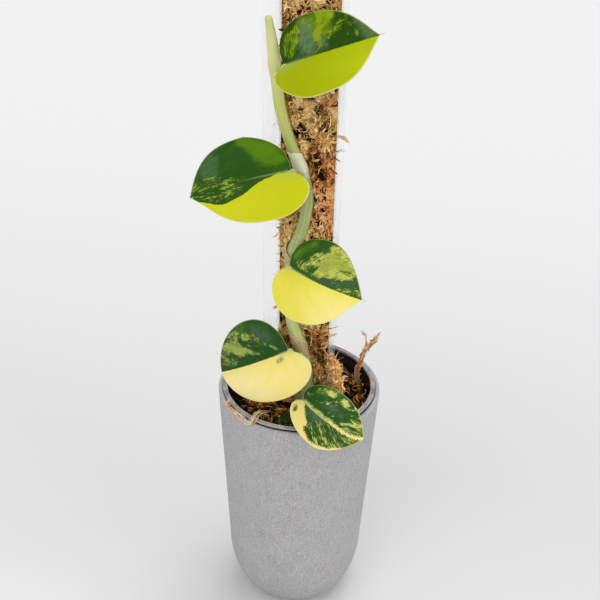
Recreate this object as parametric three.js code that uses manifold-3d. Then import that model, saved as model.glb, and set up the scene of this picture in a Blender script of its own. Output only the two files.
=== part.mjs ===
// A shingling vine with five half-yellow leaves climbs a clear moss pole in a tall grey planter.
// Millimetres, +Z up. The origin is the centre of the planter's flat base, and the moss faces -Y.
import * as THREE from 'three';
import { mergeVertices } from 'three/addons/utils/BufferGeometryUtils.js';
import Module from 'manifold-3d';

const wasm = await Module();
wasm.setup();

// Gap between pieces that rest on or in each other
const seat = 0.3;

// Planter: a straight taper from the rim down to the bend, then a quarter ellipse to the flat base
const planter = {
  height: 210, rimRadius: 65, bendHeight: 55, bendRadius: 57.4, baseRadius: 30,
  wall: 4.8, floor: 8, outerRound: 1.8, innerRound: 0.8, sides: 40,
};

// Clear nursery pot: hangs on the planter's rim by its flange
const nursery = {
  shift: [-0.2, 0.8], mouthRadius: 57.7, flangeRadius: 62.9, flangeThick: 1.6, wall: 0.9,
  depth: 108, footRadius: 46, floor: 1.2, holeRadius: 3.5, holeRing: 30, holes: 8, sides: 40,
};

// Moss mix in the nursery pot: its level, and the mound against the right of the pole
const soil = {
  level: planter.height - 12, ripple: 3, sides: 40,
  mound: { at: [29, 2], rise: 30, reach: [9, 12] },
};

// Moss pole: a half-round clear channel with flared lips, turned a little to the left
const pole = {
  at: [3.6, -6], turn: -14, lean: -0.41, foot: 112, top: 540, mossTop: 534,
  innerRadius: 19.8, wall: 0.9, straight: 2, flare: 35, leftLip: 12, rightLip: 7,
  mossBulge: 4, mossRelief: 1.6, mossSides: 24, mossSteps: 60,
};

// Stem: its middle line from the buried foot to the growing tip, as it lies along the moss
const stem = {
  path: [
    [1.5, -14, 186], [2.5, -16, 209.8], [5.4, -15.5, 219.4], [5.5, -15, 229.7], [3.5, -15, 244],
    [0.1, -14.5, 256.6], [-6.5, -12.5, 277.1], [-9.3, -12, 300], [-9, -12, 326.4],
    [-7.4, -12, 337.3], [-0.6, -14, 359.7], [1.4, -15, 372.9], [1.9, -15, 383],
    [-2.1, -13.5, 400.4], [-10.1, -11.5, 420.1], [-17.3, -12, 442.9], [-21.2, -13.5, 469.4],
    [-24.3, -14.5, 493.9], [-26.6, -16, 508.8],
  ],
  footRadius: 5.1, topRadius: 3.7, tipRadius: 1.4, thickness: 0.82,
  nodes: [216, 261, 337, 404, 476], nodeSwell: 0.7, nodeReach: 6,
};

// Leaf blades: 0.8 mm thick, with a raised rib under the middle
const blade = { thick: 0.8, rib: 1, ribReach: 2, rows: 11, columns: 4 };

// Each leaf has its base, its tip and the way its face looks, then how its blade bends.
// Each half has an outline of two curves: from the base round the lobe to its widest point,
// and on to the tip. Lengths run along the midrib and out from it.
const leaves = [
  {
    name: 'leaf_1', colour: '#8fa61c', base: [-15.1, -28, 481.1], tip: [42.9, -41, 505.6],
    turn: 8, rise: 36, bow: 4, fold: 0.22, droop: 7, sweep: 1, stalk: [-21.6, -13.8, 472],
    upper: { lobe: [-4.8, 9.7], widest: [17.3, 27.2], before: 17.2, after: 30.4, point: [56.3, 8.2] },
    lower: { lobe: [-22.1, 6.4], widest: [17, 25.8], before: 15.4, after: 22, point: [48.8, 24.4] },
  },
  {
    name: 'leaf_2', colour: '#7f9a1f', base: [-10.2, -29, 408.5], tip: [-80.4, -18, 381.1],
    turn: -10, rise: 24, bow: 5, fold: 0.22, droop: 6, sweep: -1.8, stalk: [-2.6, -13.4, 401],
    upper: { lobe: [-5.9, 22.3], widest: [27.4, 30.4], before: 2.7, after: 28.4, point: [62.8, 20.5] },
    lower: { lobe: [-23.3, 13.3], widest: [16.3, 29.3], before: 17.4, after: 38.2, point: [57.2, 12.3] },
  },
  {
    name: 'leaf_3', colour: '#c3bd4a', base: [-9.1, -29, 334.3], tip: [42.3, -50, 321.4],
    turn: 0, rise: 32, bow: 6, fold: 0.22, droop: 7, sweep: 2.2, stalk: [-8.2, -12, 331],
    upper: { lobe: [-8.1, 18.1], widest: [21.4, 28.8], before: 14.5, after: 14.5, point: [49.6, 12.3] },
    lower: { lobe: [-16.5, 8.6], widest: [17.1, 33.7], before: 21.2, after: 27.6, point: [48.5, 13.5] },
  },
  {
    name: 'leaf_4', colour: '#b9b566', base: [-9.2, -28, 261.3], tip: [-61.7, -11, 227.8],
    turn: -5, rise: 30, bow: 9, fold: 0.22, droop: 7, sweep: 0.8, stalk: [-1.2, -14.2, 259],
    upper: { lobe: [-1.8, 17.2], widest: [26.1, 31.9], before: 16.5, after: 20.7, point: [58, 12.1] },
    lower: { lobe: [-26.5, 12.8], widest: [17.1, 34.3], before: 23.2, after: 36.1, point: [66.7, 1.6] },
  },
  {
    name: 'leaf_5', colour: '#55702c', base: [4.3, -42, 225.2], tip: [48.7, -72, 214],
    turn: 8, rise: 55, bow: 5, fold: 0.2, droop: 5, sweep: 5.5, stalk: [4, -15.8, 214],
    upper: { lobe: [-7.6, 4.9], widest: [16.8, 19.8], before: 23.6, after: 24.1, point: [49.7, 7.3] },
    lower: { lobe: [-18.5, 2.9], widest: [28.4, 27.8], before: 25.6, after: 8.7, point: [50, 18.3] },
  },
  {
    name: 'basal_leaf', colour: '#2f4a1e', base: [4, -28, 207], tip: [-20, -36.5, 206.5],
    turn: -10, rise: 62, bow: 2, fold: 0.25, droop: 4, sweep: 0, stalk: [2, -16, 206],
    upper: { lobe: [-3, 5], widest: [9, 7.5], before: 6, after: 9, point: [20, 4] },
    lower: { lobe: [-3, 5], widest: [9, 7.5], before: 6, after: 9, point: [20, 4] },
  },
];
const stalkRadius = 2.3;
const stalkEndRadius = 1.5;

// Loose strands of moss that stand up out of the mix at the right, each from its root to its tip
const strands = [
  { path: [[43, 22, 194], [47, 24, 212], [51, 19, 230], [59, 12, 247]], radius: 2.2 },
  { path: [[45, 25, 200], [47, 23, 216], [46, 18, 232], [48, 12, 250]], radius: 1.3 },
];

const colours = {
  planter: '#a8a8a6', nursery_pot: '#c9cbcb', substrate: '#5f4426',
  pole_channel: '#e4e8e8', pole_moss: '#9a7648', vine_stem: '#a3b56c',
};

const degrees = Math.PI / 180;
const vector = (point) => new THREE.Vector3(...point);

// Joins the doubled vertices of a geometry and drops triangles that have shrunk to a line
function weld(geometry) {
  geometry.deleteAttribute('normal');
  geometry.deleteAttribute('uv');
  const welded = mergeVertices(geometry, 1e-4);
  const corners = welded.index.array;
  const kept = [];
  for (let i = 0; i < corners.length; i += 3) {
    const [a, b, c] = [corners[i], corners[i + 1], corners[i + 2]];
    if (a !== b && b !== c && c !== a) kept.push(a, b, c);
  }
  welded.setIndex(kept);
  return welded;
}

function toSolid(geometry) {
  const welded = weld(geometry);
  return new wasm.Manifold(new wasm.Mesh({
    numProp: 3,
    vertProperties: new Float32Array(welded.attributes.position.array),
    triVerts: new Uint32Array(welded.index.array),
  }));
}

function toGeometry(solid) {
  const mesh = solid.getMesh();
  const geometry = new THREE.BufferGeometry();
  geometry.setAttribute('position', new THREE.BufferAttribute(mesh.vertProperties, 3));
  geometry.setIndex(new THREE.BufferAttribute(mesh.triVerts, 1));
  return geometry;
}

// Moves every vertex of a geometry to where the function puts it
function reshape(geometry, move) {
  const place = geometry.attributes.position;
  for (let i = 0; i < place.count; i += 1) {
    const moved = move(new THREE.Vector3().fromBufferAttribute(place, i));
    place.setXYZ(i, moved.x, moved.y, moved.z);
  }
  return geometry;
}

// Smooth seeded bumps between -1 and 1: random heights on a unit lattice, blended in between
function bumps(x, y, z) {
  const cell = [Math.floor(x), Math.floor(y), Math.floor(z)];
  const ease = [x - cell[0], y - cell[1], z - cell[2]].map((t) => t * t * (3 - 2 * t));
  let sum = 0;
  for (let corner = 0; corner < 8; corner += 1) {
    const step = [corner & 1, (corner >> 1) & 1, (corner >> 2) & 1];
    const [i, j, k] = cell.map((value, axis) => value + step[axis]);
    const random = Math.sin(i * 127.1 + j * 311.7 + k * 74.7) * 43758.5453;
    const weight = step.reduce((w, s, axis) => w * (s ? ease[axis] : 1 - ease[axis]), 1);
    sum += weight * (2 * (random - Math.floor(random)) - 1);
  }
  return sum;
}

// A ring or disc turned about +Z from [radius, height] points
function turned(points, sides) {
  const profile = points.map(([radius, height]) => new THREE.Vector2(radius, height));
  return new THREE.LatheGeometry(profile, sides).rotateX(90 * degrees);
}

// A closed rod bent along a curve. Each ring of an upright cylinder goes to the curve's point at
// its height, square to the curve, and is scaled by the radius there. Towards the way that the
// rod faces it can be thinner than it is wide.
function bentRod(points, radiusAt, { sides, steps, faces, thickness = 1 }) {
  const curve = new THREE.CatmullRomCurve3(points.map(vector), false, 'centripetal');
  const front = vector(faces);
  const rod = new THREE.CylinderGeometry(1, 1, 1, sides, steps);
  return reshape(rod, (vertex) => {
    const along = vertex.y + 0.5;
    const centre = curve.getPointAt(along);
    const tangent = curve.getTangentAt(along);
    const out = front.clone().addScaledVector(tangent, -front.dot(tangent)).normalize();
    const side = tangent.clone().cross(out);
    const radius = radiusAt(along, centre);
    return centre
      .addScaledVector(side, vertex.x * radius)
      .addScaledVector(out, vertex.z * radius * thickness);
  });
}

// A dome-ended taper: full radius along the rod, closing over the last stretch at each end
function domed(along, firstRadius, lastRadius, firstEnd, lastEnd) {
  const close = (distance, reach) => Math.sqrt(Math.max(0.04, 1 - (1 - Math.min(1, distance / reach)) ** 2));
  const radius = THREE.MathUtils.lerp(firstRadius, lastRadius, along);
  return radius * close(along, firstEnd) * close(1 - along, lastEnd);
}

// Planter's outer radius at a height
function planterRadius(height) {
  if (height >= planter.bendHeight) {
    const up = (height - planter.bendHeight) / (planter.height - planter.bendHeight);
    return THREE.MathUtils.lerp(planter.bendRadius, planter.rimRadius, up);
  }
  const down = 1 - height / planter.bendHeight;
  return planter.baseRadius
    + (planter.bendRadius - planter.baseRadius) * Math.sqrt(1 - down * down);
}

// A quarter turn of points round a centre, for a rounded edge
function roundEdge(centre, radius, fromDegrees, toDegrees, steps) {
  return Array.from({ length: steps + 1 }, (_, i) => {
    const angle = THREE.MathUtils.lerp(fromDegrees, toDegrees, i / steps) * degrees;
    return [centre[0] + radius * Math.cos(angle), centre[1] + radius * Math.sin(angle)];
  });
}

function buildPlanter() {
  const { height, bendHeight, wall, floor, outerRound, innerRound } = planter;
  const footSteps = 5;
  const outerFoot = [];
  const innerFoot = [];
  for (let i = 0; i <= footSteps; i += 1) {
    const angle = (i / footSteps) * 90 * degrees;
    const reach = planter.bendRadius - planter.baseRadius;
    const radius = planter.baseRadius + reach * Math.sin(angle);
    outerFoot.push([radius, bendHeight * (1 - Math.cos(angle))]);
    innerFoot.unshift([radius - wall, floor + (bendHeight - floor) * (1 - Math.cos(angle))]);
  }
  const outerTop = planterRadius(height - outerRound);
  const innerTop = planter.rimRadius - wall;
  const profile = [
    [0, 0], ...outerFoot,
    ...roundEdge([outerTop - outerRound, height - outerRound], outerRound, 0, 90, 3),
    ...roundEdge([innerTop + innerRound, height - innerRound], innerRound, 90, 180, 2),
    ...innerFoot, [0, floor],
  ];
  return toSolid(turned(profile, planter.sides));
}

// Inner radius of the nursery pot at a height
function nurseryRadius(height) {
  const down = (planter.height - height) / nursery.depth;
  return THREE.MathUtils.lerp(nursery.mouthRadius, nursery.footRadius, down);
}

function buildNursery() {
  const { mouthRadius, flangeRadius, flangeThick, wall, depth, floor } = nursery;
  const rim = planter.height + seat;
  const foot = planter.height - depth;
  const corner = 2;
  const lip = 0.8;
  const mouth = rim + flangeThick - lip;
  const profile = [
    [0, foot], [nurseryRadius(foot) + wall - corner, foot],
    [nurseryRadius(foot + corner) + wall, foot + corner],
    [nurseryRadius(rim - 4) + wall, rim - 4], [mouthRadius + wall + 0.6, rim],
    ...roundEdge([flangeRadius - flangeThick / 2, rim + flangeThick / 2], flangeThick / 2, -90, 90, 4),
    ...roundEdge([nurseryRadius(mouth) + lip, mouth], lip, 90, 180, 3),
    [nurseryRadius(foot + floor + corner), foot + floor + corner],
    [nurseryRadius(foot + floor) - corner, foot + floor], [0, foot + floor],
  ];
  let pot = toSolid(turned(profile, nursery.sides));
  for (let i = 0; i < nursery.holes; i += 1) {
    const angle = (i / nursery.holes) * 360 * degrees;
    const drill = new THREE.CylinderGeometry(nursery.holeRadius, nursery.holeRadius, 10, 10)
      .rotateX(90 * degrees)
      .translate(nursery.holeRing * Math.cos(angle), nursery.holeRing * Math.sin(angle), foot);
    pot = pot.subtract(toSolid(drill));
  }
  return pot.translate([...nursery.shift, 0]);
}

// Pole pieces are made upright round the channel's own axis, with the open side to -Y,
// then turned, leaned and moved to the pole's place
function placePole(geometry) {
  return geometry
    .rotateZ(pole.turn * degrees)
    .rotateY(pole.lean * degrees)
    .translate(...pole.at, pole.foot);
}

// The channel sheet's middle line from the left lip, round the back, to the right lip
function channelLine(grow) {
  const radius = pole.innerRadius + pole.wall / 2;
  const lip = (length, side) => [
    side * (radius + length * Math.cos(pole.flare * degrees)),
    -pole.straight - length * Math.sin(pole.flare * degrees),
  ];
  const bend = 2;
  const line = new THREE.Path();
  line.moveTo(...lip(pole.leftLip + grow, -1));
  line.lineTo(...lip(bend, -1));
  line.quadraticCurveTo(-radius, -pole.straight, -radius, -pole.straight + bend);
  line.absarc(0, 0, radius, Math.PI, 0, true);
  line.lineTo(radius, -pole.straight + bend);
  line.quadraticCurveTo(radius, -pole.straight, ...lip(bend, 1));
  line.lineTo(...lip(pole.rightLip + grow, 1));
  return line.getPoints(14).filter((point, i, all) => i === 0 || point.distanceTo(all[i - 1]) > 0.05);
}

// The channel as a sheet on its middle line, grown on every side to make room for it
function channelSolid(grow) {
  const thick = pole.wall + 2 * grow;
  const height = pole.top - pole.foot;
  const line = channelLine(grow);
  const shifted = (offset) => line.map((point, i) => {
    const before = line[Math.max(0, i - 1)];
    const after = line[Math.min(line.length - 1, i + 1)];
    const run = after.clone().sub(before).normalize();
    return new THREE.Vector2(point.x - run.y * offset, point.y + run.x * offset);
  });
  const outline = new THREE.Shape([...shifted(thick / 2), ...shifted(-thick / 2).reverse()]);
  const sheet = new THREE.ExtrudeGeometry(outline, { depth: height, bevelEnabled: false });
  return toSolid(placePole(sheet)).translate([0, 0, -grow]);
}

// The moss core: half-round behind, gently crowned in front. The relief stands out of the crown
// above the mix and fades towards the channel's corners.
function mossSolid(grow) {
  const height = pole.mossTop - pole.foot;
  const radius = pole.innerRadius - seat + grow;
  const core = new THREE.CylinderGeometry(1, 1, height, pole.mossSides, pole.mossSteps)
    .rotateX(90 * degrees)
    .translate(0, 0, height / 2);
  reshape(core, ({ x, y, z }) => {
    if (y >= 0) return new THREE.Vector3(x * radius, y * radius, z);
    const crown = (pole.straight + pole.mossBulge + grow) * (-y) ** 0.6;
    const shown = THREE.MathUtils.smoothstep(z + pole.foot, soil.level - 10, soil.level + 10);
    const rough = bumps(x * 3, z / 11, 4) + 0.6 * bumps(x * 6, z / 5.5, 9);
    return new THREE.Vector3(x * radius, -crown - pole.mossRelief * shown * -y * rough, z);
  });
  return toSolid(placePole(core)).translate([0, 0, -grow]);
}

function stemRadius(along, centre, grow) {
  const body = domed(along, stem.footRadius, stem.topRadius, 0.02, 0.001);
  const tip = THREE.MathUtils.smoothstep(along, 0.93, 1);
  const radius = THREE.MathUtils.lerp(body, stem.tipRadius, tip);
  const swell = stem.nodes.reduce(
    (sum, height) => sum + Math.exp(-(((centre.z - height) / stem.nodeReach) ** 2)), 0);
  return radius + stem.nodeSwell * swell + grow;
}

function stemSolid(grow) {
  const faces = [0, -1, 0];
  const shape = { sides: 12, steps: 56, faces, thickness: stem.thickness };
  return toSolid(bentRod(stem.path, (along, centre) => stemRadius(along, centre, grow), shape));
}

function soilHeight(x, y) {
  const { at, rise, reach } = soil.mound;
  const away = ((x - at[0]) / reach[0]) ** 2 + ((y - at[1]) / reach[1]) ** 2;
  const mound = Math.exp(-(away ** 1.6));
  const ripple = soil.ripple * (bumps(x / 9, y / 9, 2) + 0.5 * bumps(x / 4, y / 4, 7));
  return soil.level + ripple + rise * mound;
}

function buildSubstrate(cutters) {
  const foot = planter.height - nursery.depth + nursery.floor + seat;
  const edge = (height) => nurseryRadius(height) - seat;
  const rings = 11;
  const top = Array.from({ length: rings + 1 }, (_, i) =>
    [edge(soil.level - 6) * (1 - i / rings), soil.level]);
  const profile = [[0, foot], [edge(foot) - 3, foot], [edge(foot + 3), foot + 3], ...top];
  const rootball = reshape(turned(profile, soil.sides), ({ x, y, z }) =>
    new THREE.Vector3(x, y, z < soil.level - 1 ? z : soilHeight(x, y)));
  let mix = toSolid(rootball).translate([...nursery.shift, 0]);
  for (const { path, radius } of strands) {
    const taper = (along) => domed(along, radius, radius * 0.7, 0.05, 0.12);
    mix = mix.add(toSolid(bentRod(path, taper, { sides: 6, steps: 8, faces: [1, 0, 0] })));
  }
  return cutters.reduce((solid, cutter) => solid.subtract(cutter), mix);
}

// The leaf's own directions: along the midrib, out across the upper half, and up off the face
function leafAxes(leaf) {
  const base = vector(leaf.base);
  const along = vector(leaf.tip).sub(base);
  const length = along.length();
  along.divideScalar(length);
  const turn = leaf.turn * degrees;
  const rise = leaf.rise * degrees;
  const up = new THREE.Vector3(
    Math.sin(turn) * Math.cos(rise), -Math.cos(turn) * Math.cos(rise), Math.sin(rise));
  up.addScaledVector(along, -up.dot(along)).normalize();
  const across = up.clone().cross(along);
  const mirrored = across.z < 0;
  if (mirrored) across.negate();
  return { base, length, along, across, up, mirrored };
}

// The midrib's sideways bow at a distance along it
function midribSweep(leaf, length, x) {
  const part = THREE.MathUtils.clamp(x / length, 0, 1);
  return -leaf.sweep * 4 * part * (1 - part);
}

// Height of the face off the leaf's plane: a bow along the midrib, halves that rise from it,
// and edges that droop
function faceHeight(leaf, length, x, fromMidrib) {
  const part = x / length;
  const bow = 4 * leaf.bow * part * (1 - part) * (part < 0 ? 0.5 : 1);
  const fold = leaf.fold * (Math.sqrt(fromMidrib ** 2 + 1) - 1);
  return bow + fold - leaf.droop * (fromMidrib / 25) ** 2;
}

// The outline of one half as a curve from the base (0) through the widest point (0.5) to the tip (1)
function halfOutline(half, length) {
  const [wideX, wideY] = half.widest;
  const base = new THREE.Vector2(0, 0);
  const widest = new THREE.Vector2(wideX, wideY);
  const tip = new THREE.Vector2(length, 0);
  const lobe = new THREE.CubicBezierCurve(
    base, new THREE.Vector2(...half.lobe), new THREE.Vector2(wideX - half.before, wideY), widest);
  const taper = new THREE.CubicBezierCurve(
    widest, new THREE.Vector2(wideX + half.after, wideY), new THREE.Vector2(...half.point), tip);
  return (s) => (s < 0.5 ? lobe.getPoint(s * 2) : taper.getPoint(s * 2 - 1));
}

// A blade: two sheets of points on lines that fan from the midrib to the edge, joined by a rim
function buildBlade(leaf, axes) {
  const { base, length, along, across, up, mirrored } = axes;
  const outlines = { 1: halfOutline(leaf.upper, length), '-1': halfOutline(leaf.lower, length) };
  const { rows, columns } = blade;
  const width = 2 * columns + 1;
  const points = [];
  const addPoint = (x, y) => {
    const fromMidrib = y - midribSweep(leaf, length, x);
    const face = base.clone()
      .addScaledVector(along, x)
      .addScaledVector(across, y)
      .addScaledVector(up, faceHeight(leaf, length, x, fromMidrib));
    const rib = blade.rib * Math.exp(-((fromMidrib / blade.ribReach) ** 2)) * (1 - x / length);
    points.push(face, face.clone().addScaledVector(up, -blade.thick - rib));
  };
  addPoint(0, 0);
  for (let row = 1; row < rows; row += 1) {
    const s = row / rows;
    const middle = length * s ** 2.4;
    for (let column = -columns; column <= columns; column += 1) {
      const side = Math.sign(column) || 1;
      const out = Math.abs(column) / columns;
      const edge = outlines[side](s);
      const start = midribSweep(leaf, length, middle);
      addPoint(
        THREE.MathUtils.lerp(middle, edge.x, out),
        THREE.MathUtils.lerp(start, side * edge.y, out));
    }
  }
  addPoint(length, 0);
  const last = (rows - 1) * width + 1;
  const face = (row, column) => (row === 0 ? 0 : row === rows ? last : (row - 1) * width + column + 1);
  const triangles = [];
  const addPair = (a, b, c) => {
    if (a === b || b === c || c === a) return;
    triangles.push(2 * a, 2 * b, 2 * c, 2 * a + 1, 2 * c + 1, 2 * b + 1);
  };
  const addRim = (a, b) => triangles.push(2 * a, 2 * a + 1, 2 * b + 1, 2 * a, 2 * b + 1, 2 * b);
  for (let row = 0; row < rows; row += 1) {
    for (let column = 0; column < width - 1; column += 1) {
      const corners = [
        face(row, column), face(row + 1, column), face(row + 1, column + 1), face(row, column + 1)];
      addPair(corners[0], corners[1], corners[2]);
      addPair(corners[0], corners[2], corners[3]);
    }
    addRim(face(row, 0), face(row + 1, 0));
    addRim(face(row + 1, width - 1), face(row, width - 1));
  }
  if (mirrored) triangles.reverse();
  const geometry = new THREE.BufferGeometry().setFromPoints(points);
  geometry.setIndex(triangles);
  return toSolid(geometry);
}

// The leaf stalk, from inside the stem to the underside of the blade
function buildStalk(leaf, axes) {
  const { base, along, up } = axes;
  const under = base.clone().addScaledVector(up, -1.6).addScaledVector(along, -1.5);
  const end = base.clone().addScaledVector(up, -1.3).addScaledVector(along, 7);
  const start = vector(leaf.stalk);
  const knee = start.clone().lerp(under, 0.55).add(new THREE.Vector3(0, 0, -1.5));
  const path = [start, knee, under, end].map((point) => point.toArray());
  const radiusAt = (part) => domed(part, stalkRadius, stalkEndRadius, 0.01, 0.15);
  return toSolid(bentRod(path, radiusAt, { sides: 8, steps: 10, faces: [0, 0, 1] }));
}

function buildLeaf(leaf, clearance) {
  const axes = leafAxes(leaf);
  return buildBlade(leaf, axes).add(buildStalk(leaf, axes)).subtract(clearance);
}

function addPiece(group, name, solid, colour, roughness, look = {}) {
  const material = new THREE.MeshStandardMaterial({ color: colour, roughness, metalness: 0, ...look });
  const mesh = new THREE.Mesh(toGeometry(solid), material);
  mesh.name = name;
  group.add(mesh);
}

const plant = new THREE.Group();
const stemRoom = stemSolid(seat);
const clear = { transparent: true, opacity: 0.35 };
const substrateRoom = [channelSolid(seat), mossSolid(seat), stemRoom];

addPiece(plant, 'planter', buildPlanter(), colours.planter, 0.85);
addPiece(plant, 'nursery_pot', buildNursery(), colours.nursery_pot, 0.2, clear);
addPiece(plant, 'substrate', buildSubstrate(substrateRoom), colours.substrate, 0.95);
addPiece(plant, 'pole_channel', channelSolid(0), colours.pole_channel, 0.1, clear);
addPiece(plant, 'pole_moss', mossSolid(0).subtract(stemRoom), colours.pole_moss, 0.95);
addPiece(plant, 'vine_stem', stemSolid(0), colours.vine_stem, 0.5);
for (const leaf of leaves) {
  addPiece(plant, leaf.name, buildLeaf(leaf, stemRoom), leaf.colour, 0.4);
}

export default plant;
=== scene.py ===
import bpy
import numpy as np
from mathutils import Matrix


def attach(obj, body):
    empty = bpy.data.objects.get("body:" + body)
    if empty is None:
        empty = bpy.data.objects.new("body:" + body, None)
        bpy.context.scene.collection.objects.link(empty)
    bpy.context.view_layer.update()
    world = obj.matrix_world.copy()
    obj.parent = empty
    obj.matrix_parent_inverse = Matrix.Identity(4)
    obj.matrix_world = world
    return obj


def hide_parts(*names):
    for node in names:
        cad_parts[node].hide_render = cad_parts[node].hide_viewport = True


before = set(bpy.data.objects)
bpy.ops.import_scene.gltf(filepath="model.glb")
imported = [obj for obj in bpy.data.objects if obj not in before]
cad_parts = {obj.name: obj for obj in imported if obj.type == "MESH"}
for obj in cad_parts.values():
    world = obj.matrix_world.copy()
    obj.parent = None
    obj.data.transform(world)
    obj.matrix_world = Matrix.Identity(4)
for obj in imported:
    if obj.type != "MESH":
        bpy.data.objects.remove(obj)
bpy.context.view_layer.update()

# A shingling vine with five half-yellow leaves climbs a clear moss pole in a tall grey planter.
# Shapes are worked out in millimetres and put into the meshes in metres. +Z is up, the origin is
# the centre of the planter's flat base, and the mossy side of the pole looks along -Y.

MM = 0.001

# Planter: a straight taper from the rim down to the bend, then a quarter ellipse to the flat base
PLANTER_HEIGHT = 210.0
PLANTER_RIM = 65.0
PLANTER_BEND = 55.0
PLANTER_BEND_RADIUS = 57.4
PLANTER_BASE_RADIUS = 30.0
PLANTER_WALL = 4.8
PLANTER_FLOOR = 8.0

# Clear nursery pot, hung on the planter's rim by its flange
POT_CENTRE = np.array([-0.2, 0.8, 0.0])
POT_MOUTH = 57.7
POT_FLANGE = 61.5
POT_FOOT = 46.0
POT_DEPTH = 108.0
POT_SHEET = 0.8

# Moss mix in the nursery pot
SOIL_LEVEL = PLANTER_HEIGHT - 12.0
MOUND_AT = (29.0, 2.0)
MOUND_RISE = 30.0
MOUND_REACH = (9.0, 12.0)

# Moss pole: a half-round clear channel with flared lips, turned a little to the left
POLE_AT = (3.6, -6.0)
POLE_TURN = -14.0
POLE_LEAN = -0.41
POLE_FOOT = 112.0
POLE_TOP = 540.0
MOSS_TOP = 534.0
CHANNEL_RADIUS = 19.8
CHANNEL_SHEET = 0.9
CHANNEL_STRAIGHT = 2.0
LIP_FLARE = 35.0
LIP_LEFT = 12.0
LIP_RIGHT = 7.0
CHANNEL_MIDDLE = CHANNEL_RADIUS + CHANNEL_SHEET / 2
POLE_LENGTH = POLE_TOP - POLE_FOOT
MOSS_RADIUS = 19.5
MOSS_BULGE = 4.0
MOSS_CROWN = CHANNEL_STRAIGHT + MOSS_BULGE
MOSS_LENGTH = MOSS_TOP - POLE_FOOT

# Stem: its middle line from the buried foot to the growing tip
STEM_PATH = [
    [1.5, -14, 186], [2.5, -16, 209.8], [5.4, -15.5, 219.4], [5.5, -15, 229.7], [3.5, -15, 244],
    [0.1, -14.5, 256.6], [-6.5, -12.5, 277.1], [-9.3, -12, 300], [-9, -12, 326.4],
    [-7.4, -12, 337.3], [-0.6, -14, 359.7], [1.4, -15, 372.9], [1.9, -15, 383],
    [-2.1, -13.5, 400.4], [-10.1, -11.5, 420.1], [-17.3, -12, 442.9], [-21.2, -13.5, 469.4],
    [-24.3, -14.5, 493.9], [-26.6, -16, 508.8],
]
STEM_FOOT_RADIUS = 5.1
STEM_TOP_RADIUS = 3.7
STEM_TIP_RADIUS = 2.5
STEM_THICKNESS = 0.82
STEM_NODES = [216, 261, 337, 404, 476]

# Leaves: thickness and the rib under the midrib, and three colours that all leaves share
BLADE_THICK = 0.8
RIB_HEIGHT = 1.0
RIB_REACH = 2.0
LEAF_BASE_BLUSH = (164, 176, 120)
YELLOW_MARGIN = (226, 222, 160)
LEAF_BACK = (160, 178, 110)


def unit(vectors):
    """Vectors divided by their lengths."""
    return vectors / np.linalg.norm(vectors, axis=-1, keepdims=True)


def mix(first, last, part):
    """The value that lies a part of the way from the first to the last."""
    return first + (last - first) * part


def ease(value, low, high):
    """0 below low, 1 above high, and a smooth S between them."""
    part = np.clip((value - low) / (high - low), 0, 1)
    return part * part * (3 - 2 * part)


def bell(value, width):
    """1 where the value is nought and less on both sides: e to the minus square of value / width."""
    return np.exp(-((value / width) ** 2))


def side_by_side(*values):
    """Numbers or arrays stretched to one shape and put side by side along a new last axis."""
    return np.stack(np.broadcast_arrays(*values), axis=-1)


def full_turn(steps):
    """Evenly spaced angles once round a circle."""
    return np.linspace(0, 2 * np.pi, steps, endpoint=False)


def bumps(x, y, z):
    """Smooth seeded bumps from -1 to 1: random heights on a unit lattice, blended in between."""
    x, y, z = np.broadcast_arrays(x, y, z)
    cell = [np.floor(value) for value in (x, y, z)]
    part = [ease(value - low, 0, 1) for value, low in zip((x, y, z), cell)]
    total = np.zeros(x.shape)
    for corner in range(8):
        step = [corner & 1, (corner >> 1) & 1, (corner >> 2) & 1]
        i, j, k = [low + add for low, add in zip(cell, step)]
        random = np.sin(i * 127.1 + j * 311.7 + k * 74.7) * 43758.5453
        weight = np.ones(x.shape)
        for near, add in zip(part, step):
            weight = weight * (near if add else 1 - near)
        total += weight * (2 * (random - np.floor(random)) - 1)
    return total


def curve(points, count):
    """Evenly spaced points on the smooth curve through the given points.

    Between each two points runs a cubic whose slopes come from the neighbours, weighted by the
    square roots of the distances between them. The ends use mirrored neighbours.
    """
    knots = np.array(points, float)
    knots = np.vstack([2 * knots[0] - knots[1], knots, 2 * knots[-1] - knots[-2]])
    gaps = np.sqrt(np.linalg.norm(np.diff(knots, axis=0), axis=1))[:, None]
    t = np.linspace(0, 1, 40, endpoint=False)[:, None]
    pieces = []
    for i in range(1, len(knots) - 2):
        p0, p1, p2, p3 = knots[i - 1:i + 3]
        d0, d1, d2 = gaps[i - 1:i + 2]
        leave = d1 * ((p1 - p0) / d0 - (p2 - p0) / (d0 + d1) + (p2 - p1) / d1)
        arrive = d1 * ((p2 - p1) / d1 - (p3 - p1) / (d1 + d2) + (p3 - p2) / d2)
        pieces.append(
            (2 * t**3 - 3 * t**2 + 1) * p1 + (t**3 - 2 * t**2 + t) * leave
            + (3 * t**2 - 2 * t**3) * p2 + (t**3 - t**2) * arrive)
    line = np.vstack(pieces + [knots[-2:-1]])
    run = np.concatenate([[0], np.cumsum(np.linalg.norm(np.diff(line, axis=0), axis=1))])
    at = np.linspace(0, run[-1], count)
    return np.stack([np.interp(at, run, line[:, axis]) for axis in range(3)], axis=1)


def ring_faces(rows, sides, start=0):
    """Four-cornered faces between neighbouring rings of points, each ring closed on itself."""
    row, side = np.meshgrid(np.arange(rows - 1), np.arange(sides), indexing="ij")
    after = (side + 1) % sides
    low, high = row * sides, (row + 1) * sides
    return side_by_side(low + side, low + after, high + after, high + side).reshape(-1, 4) + start


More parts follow.
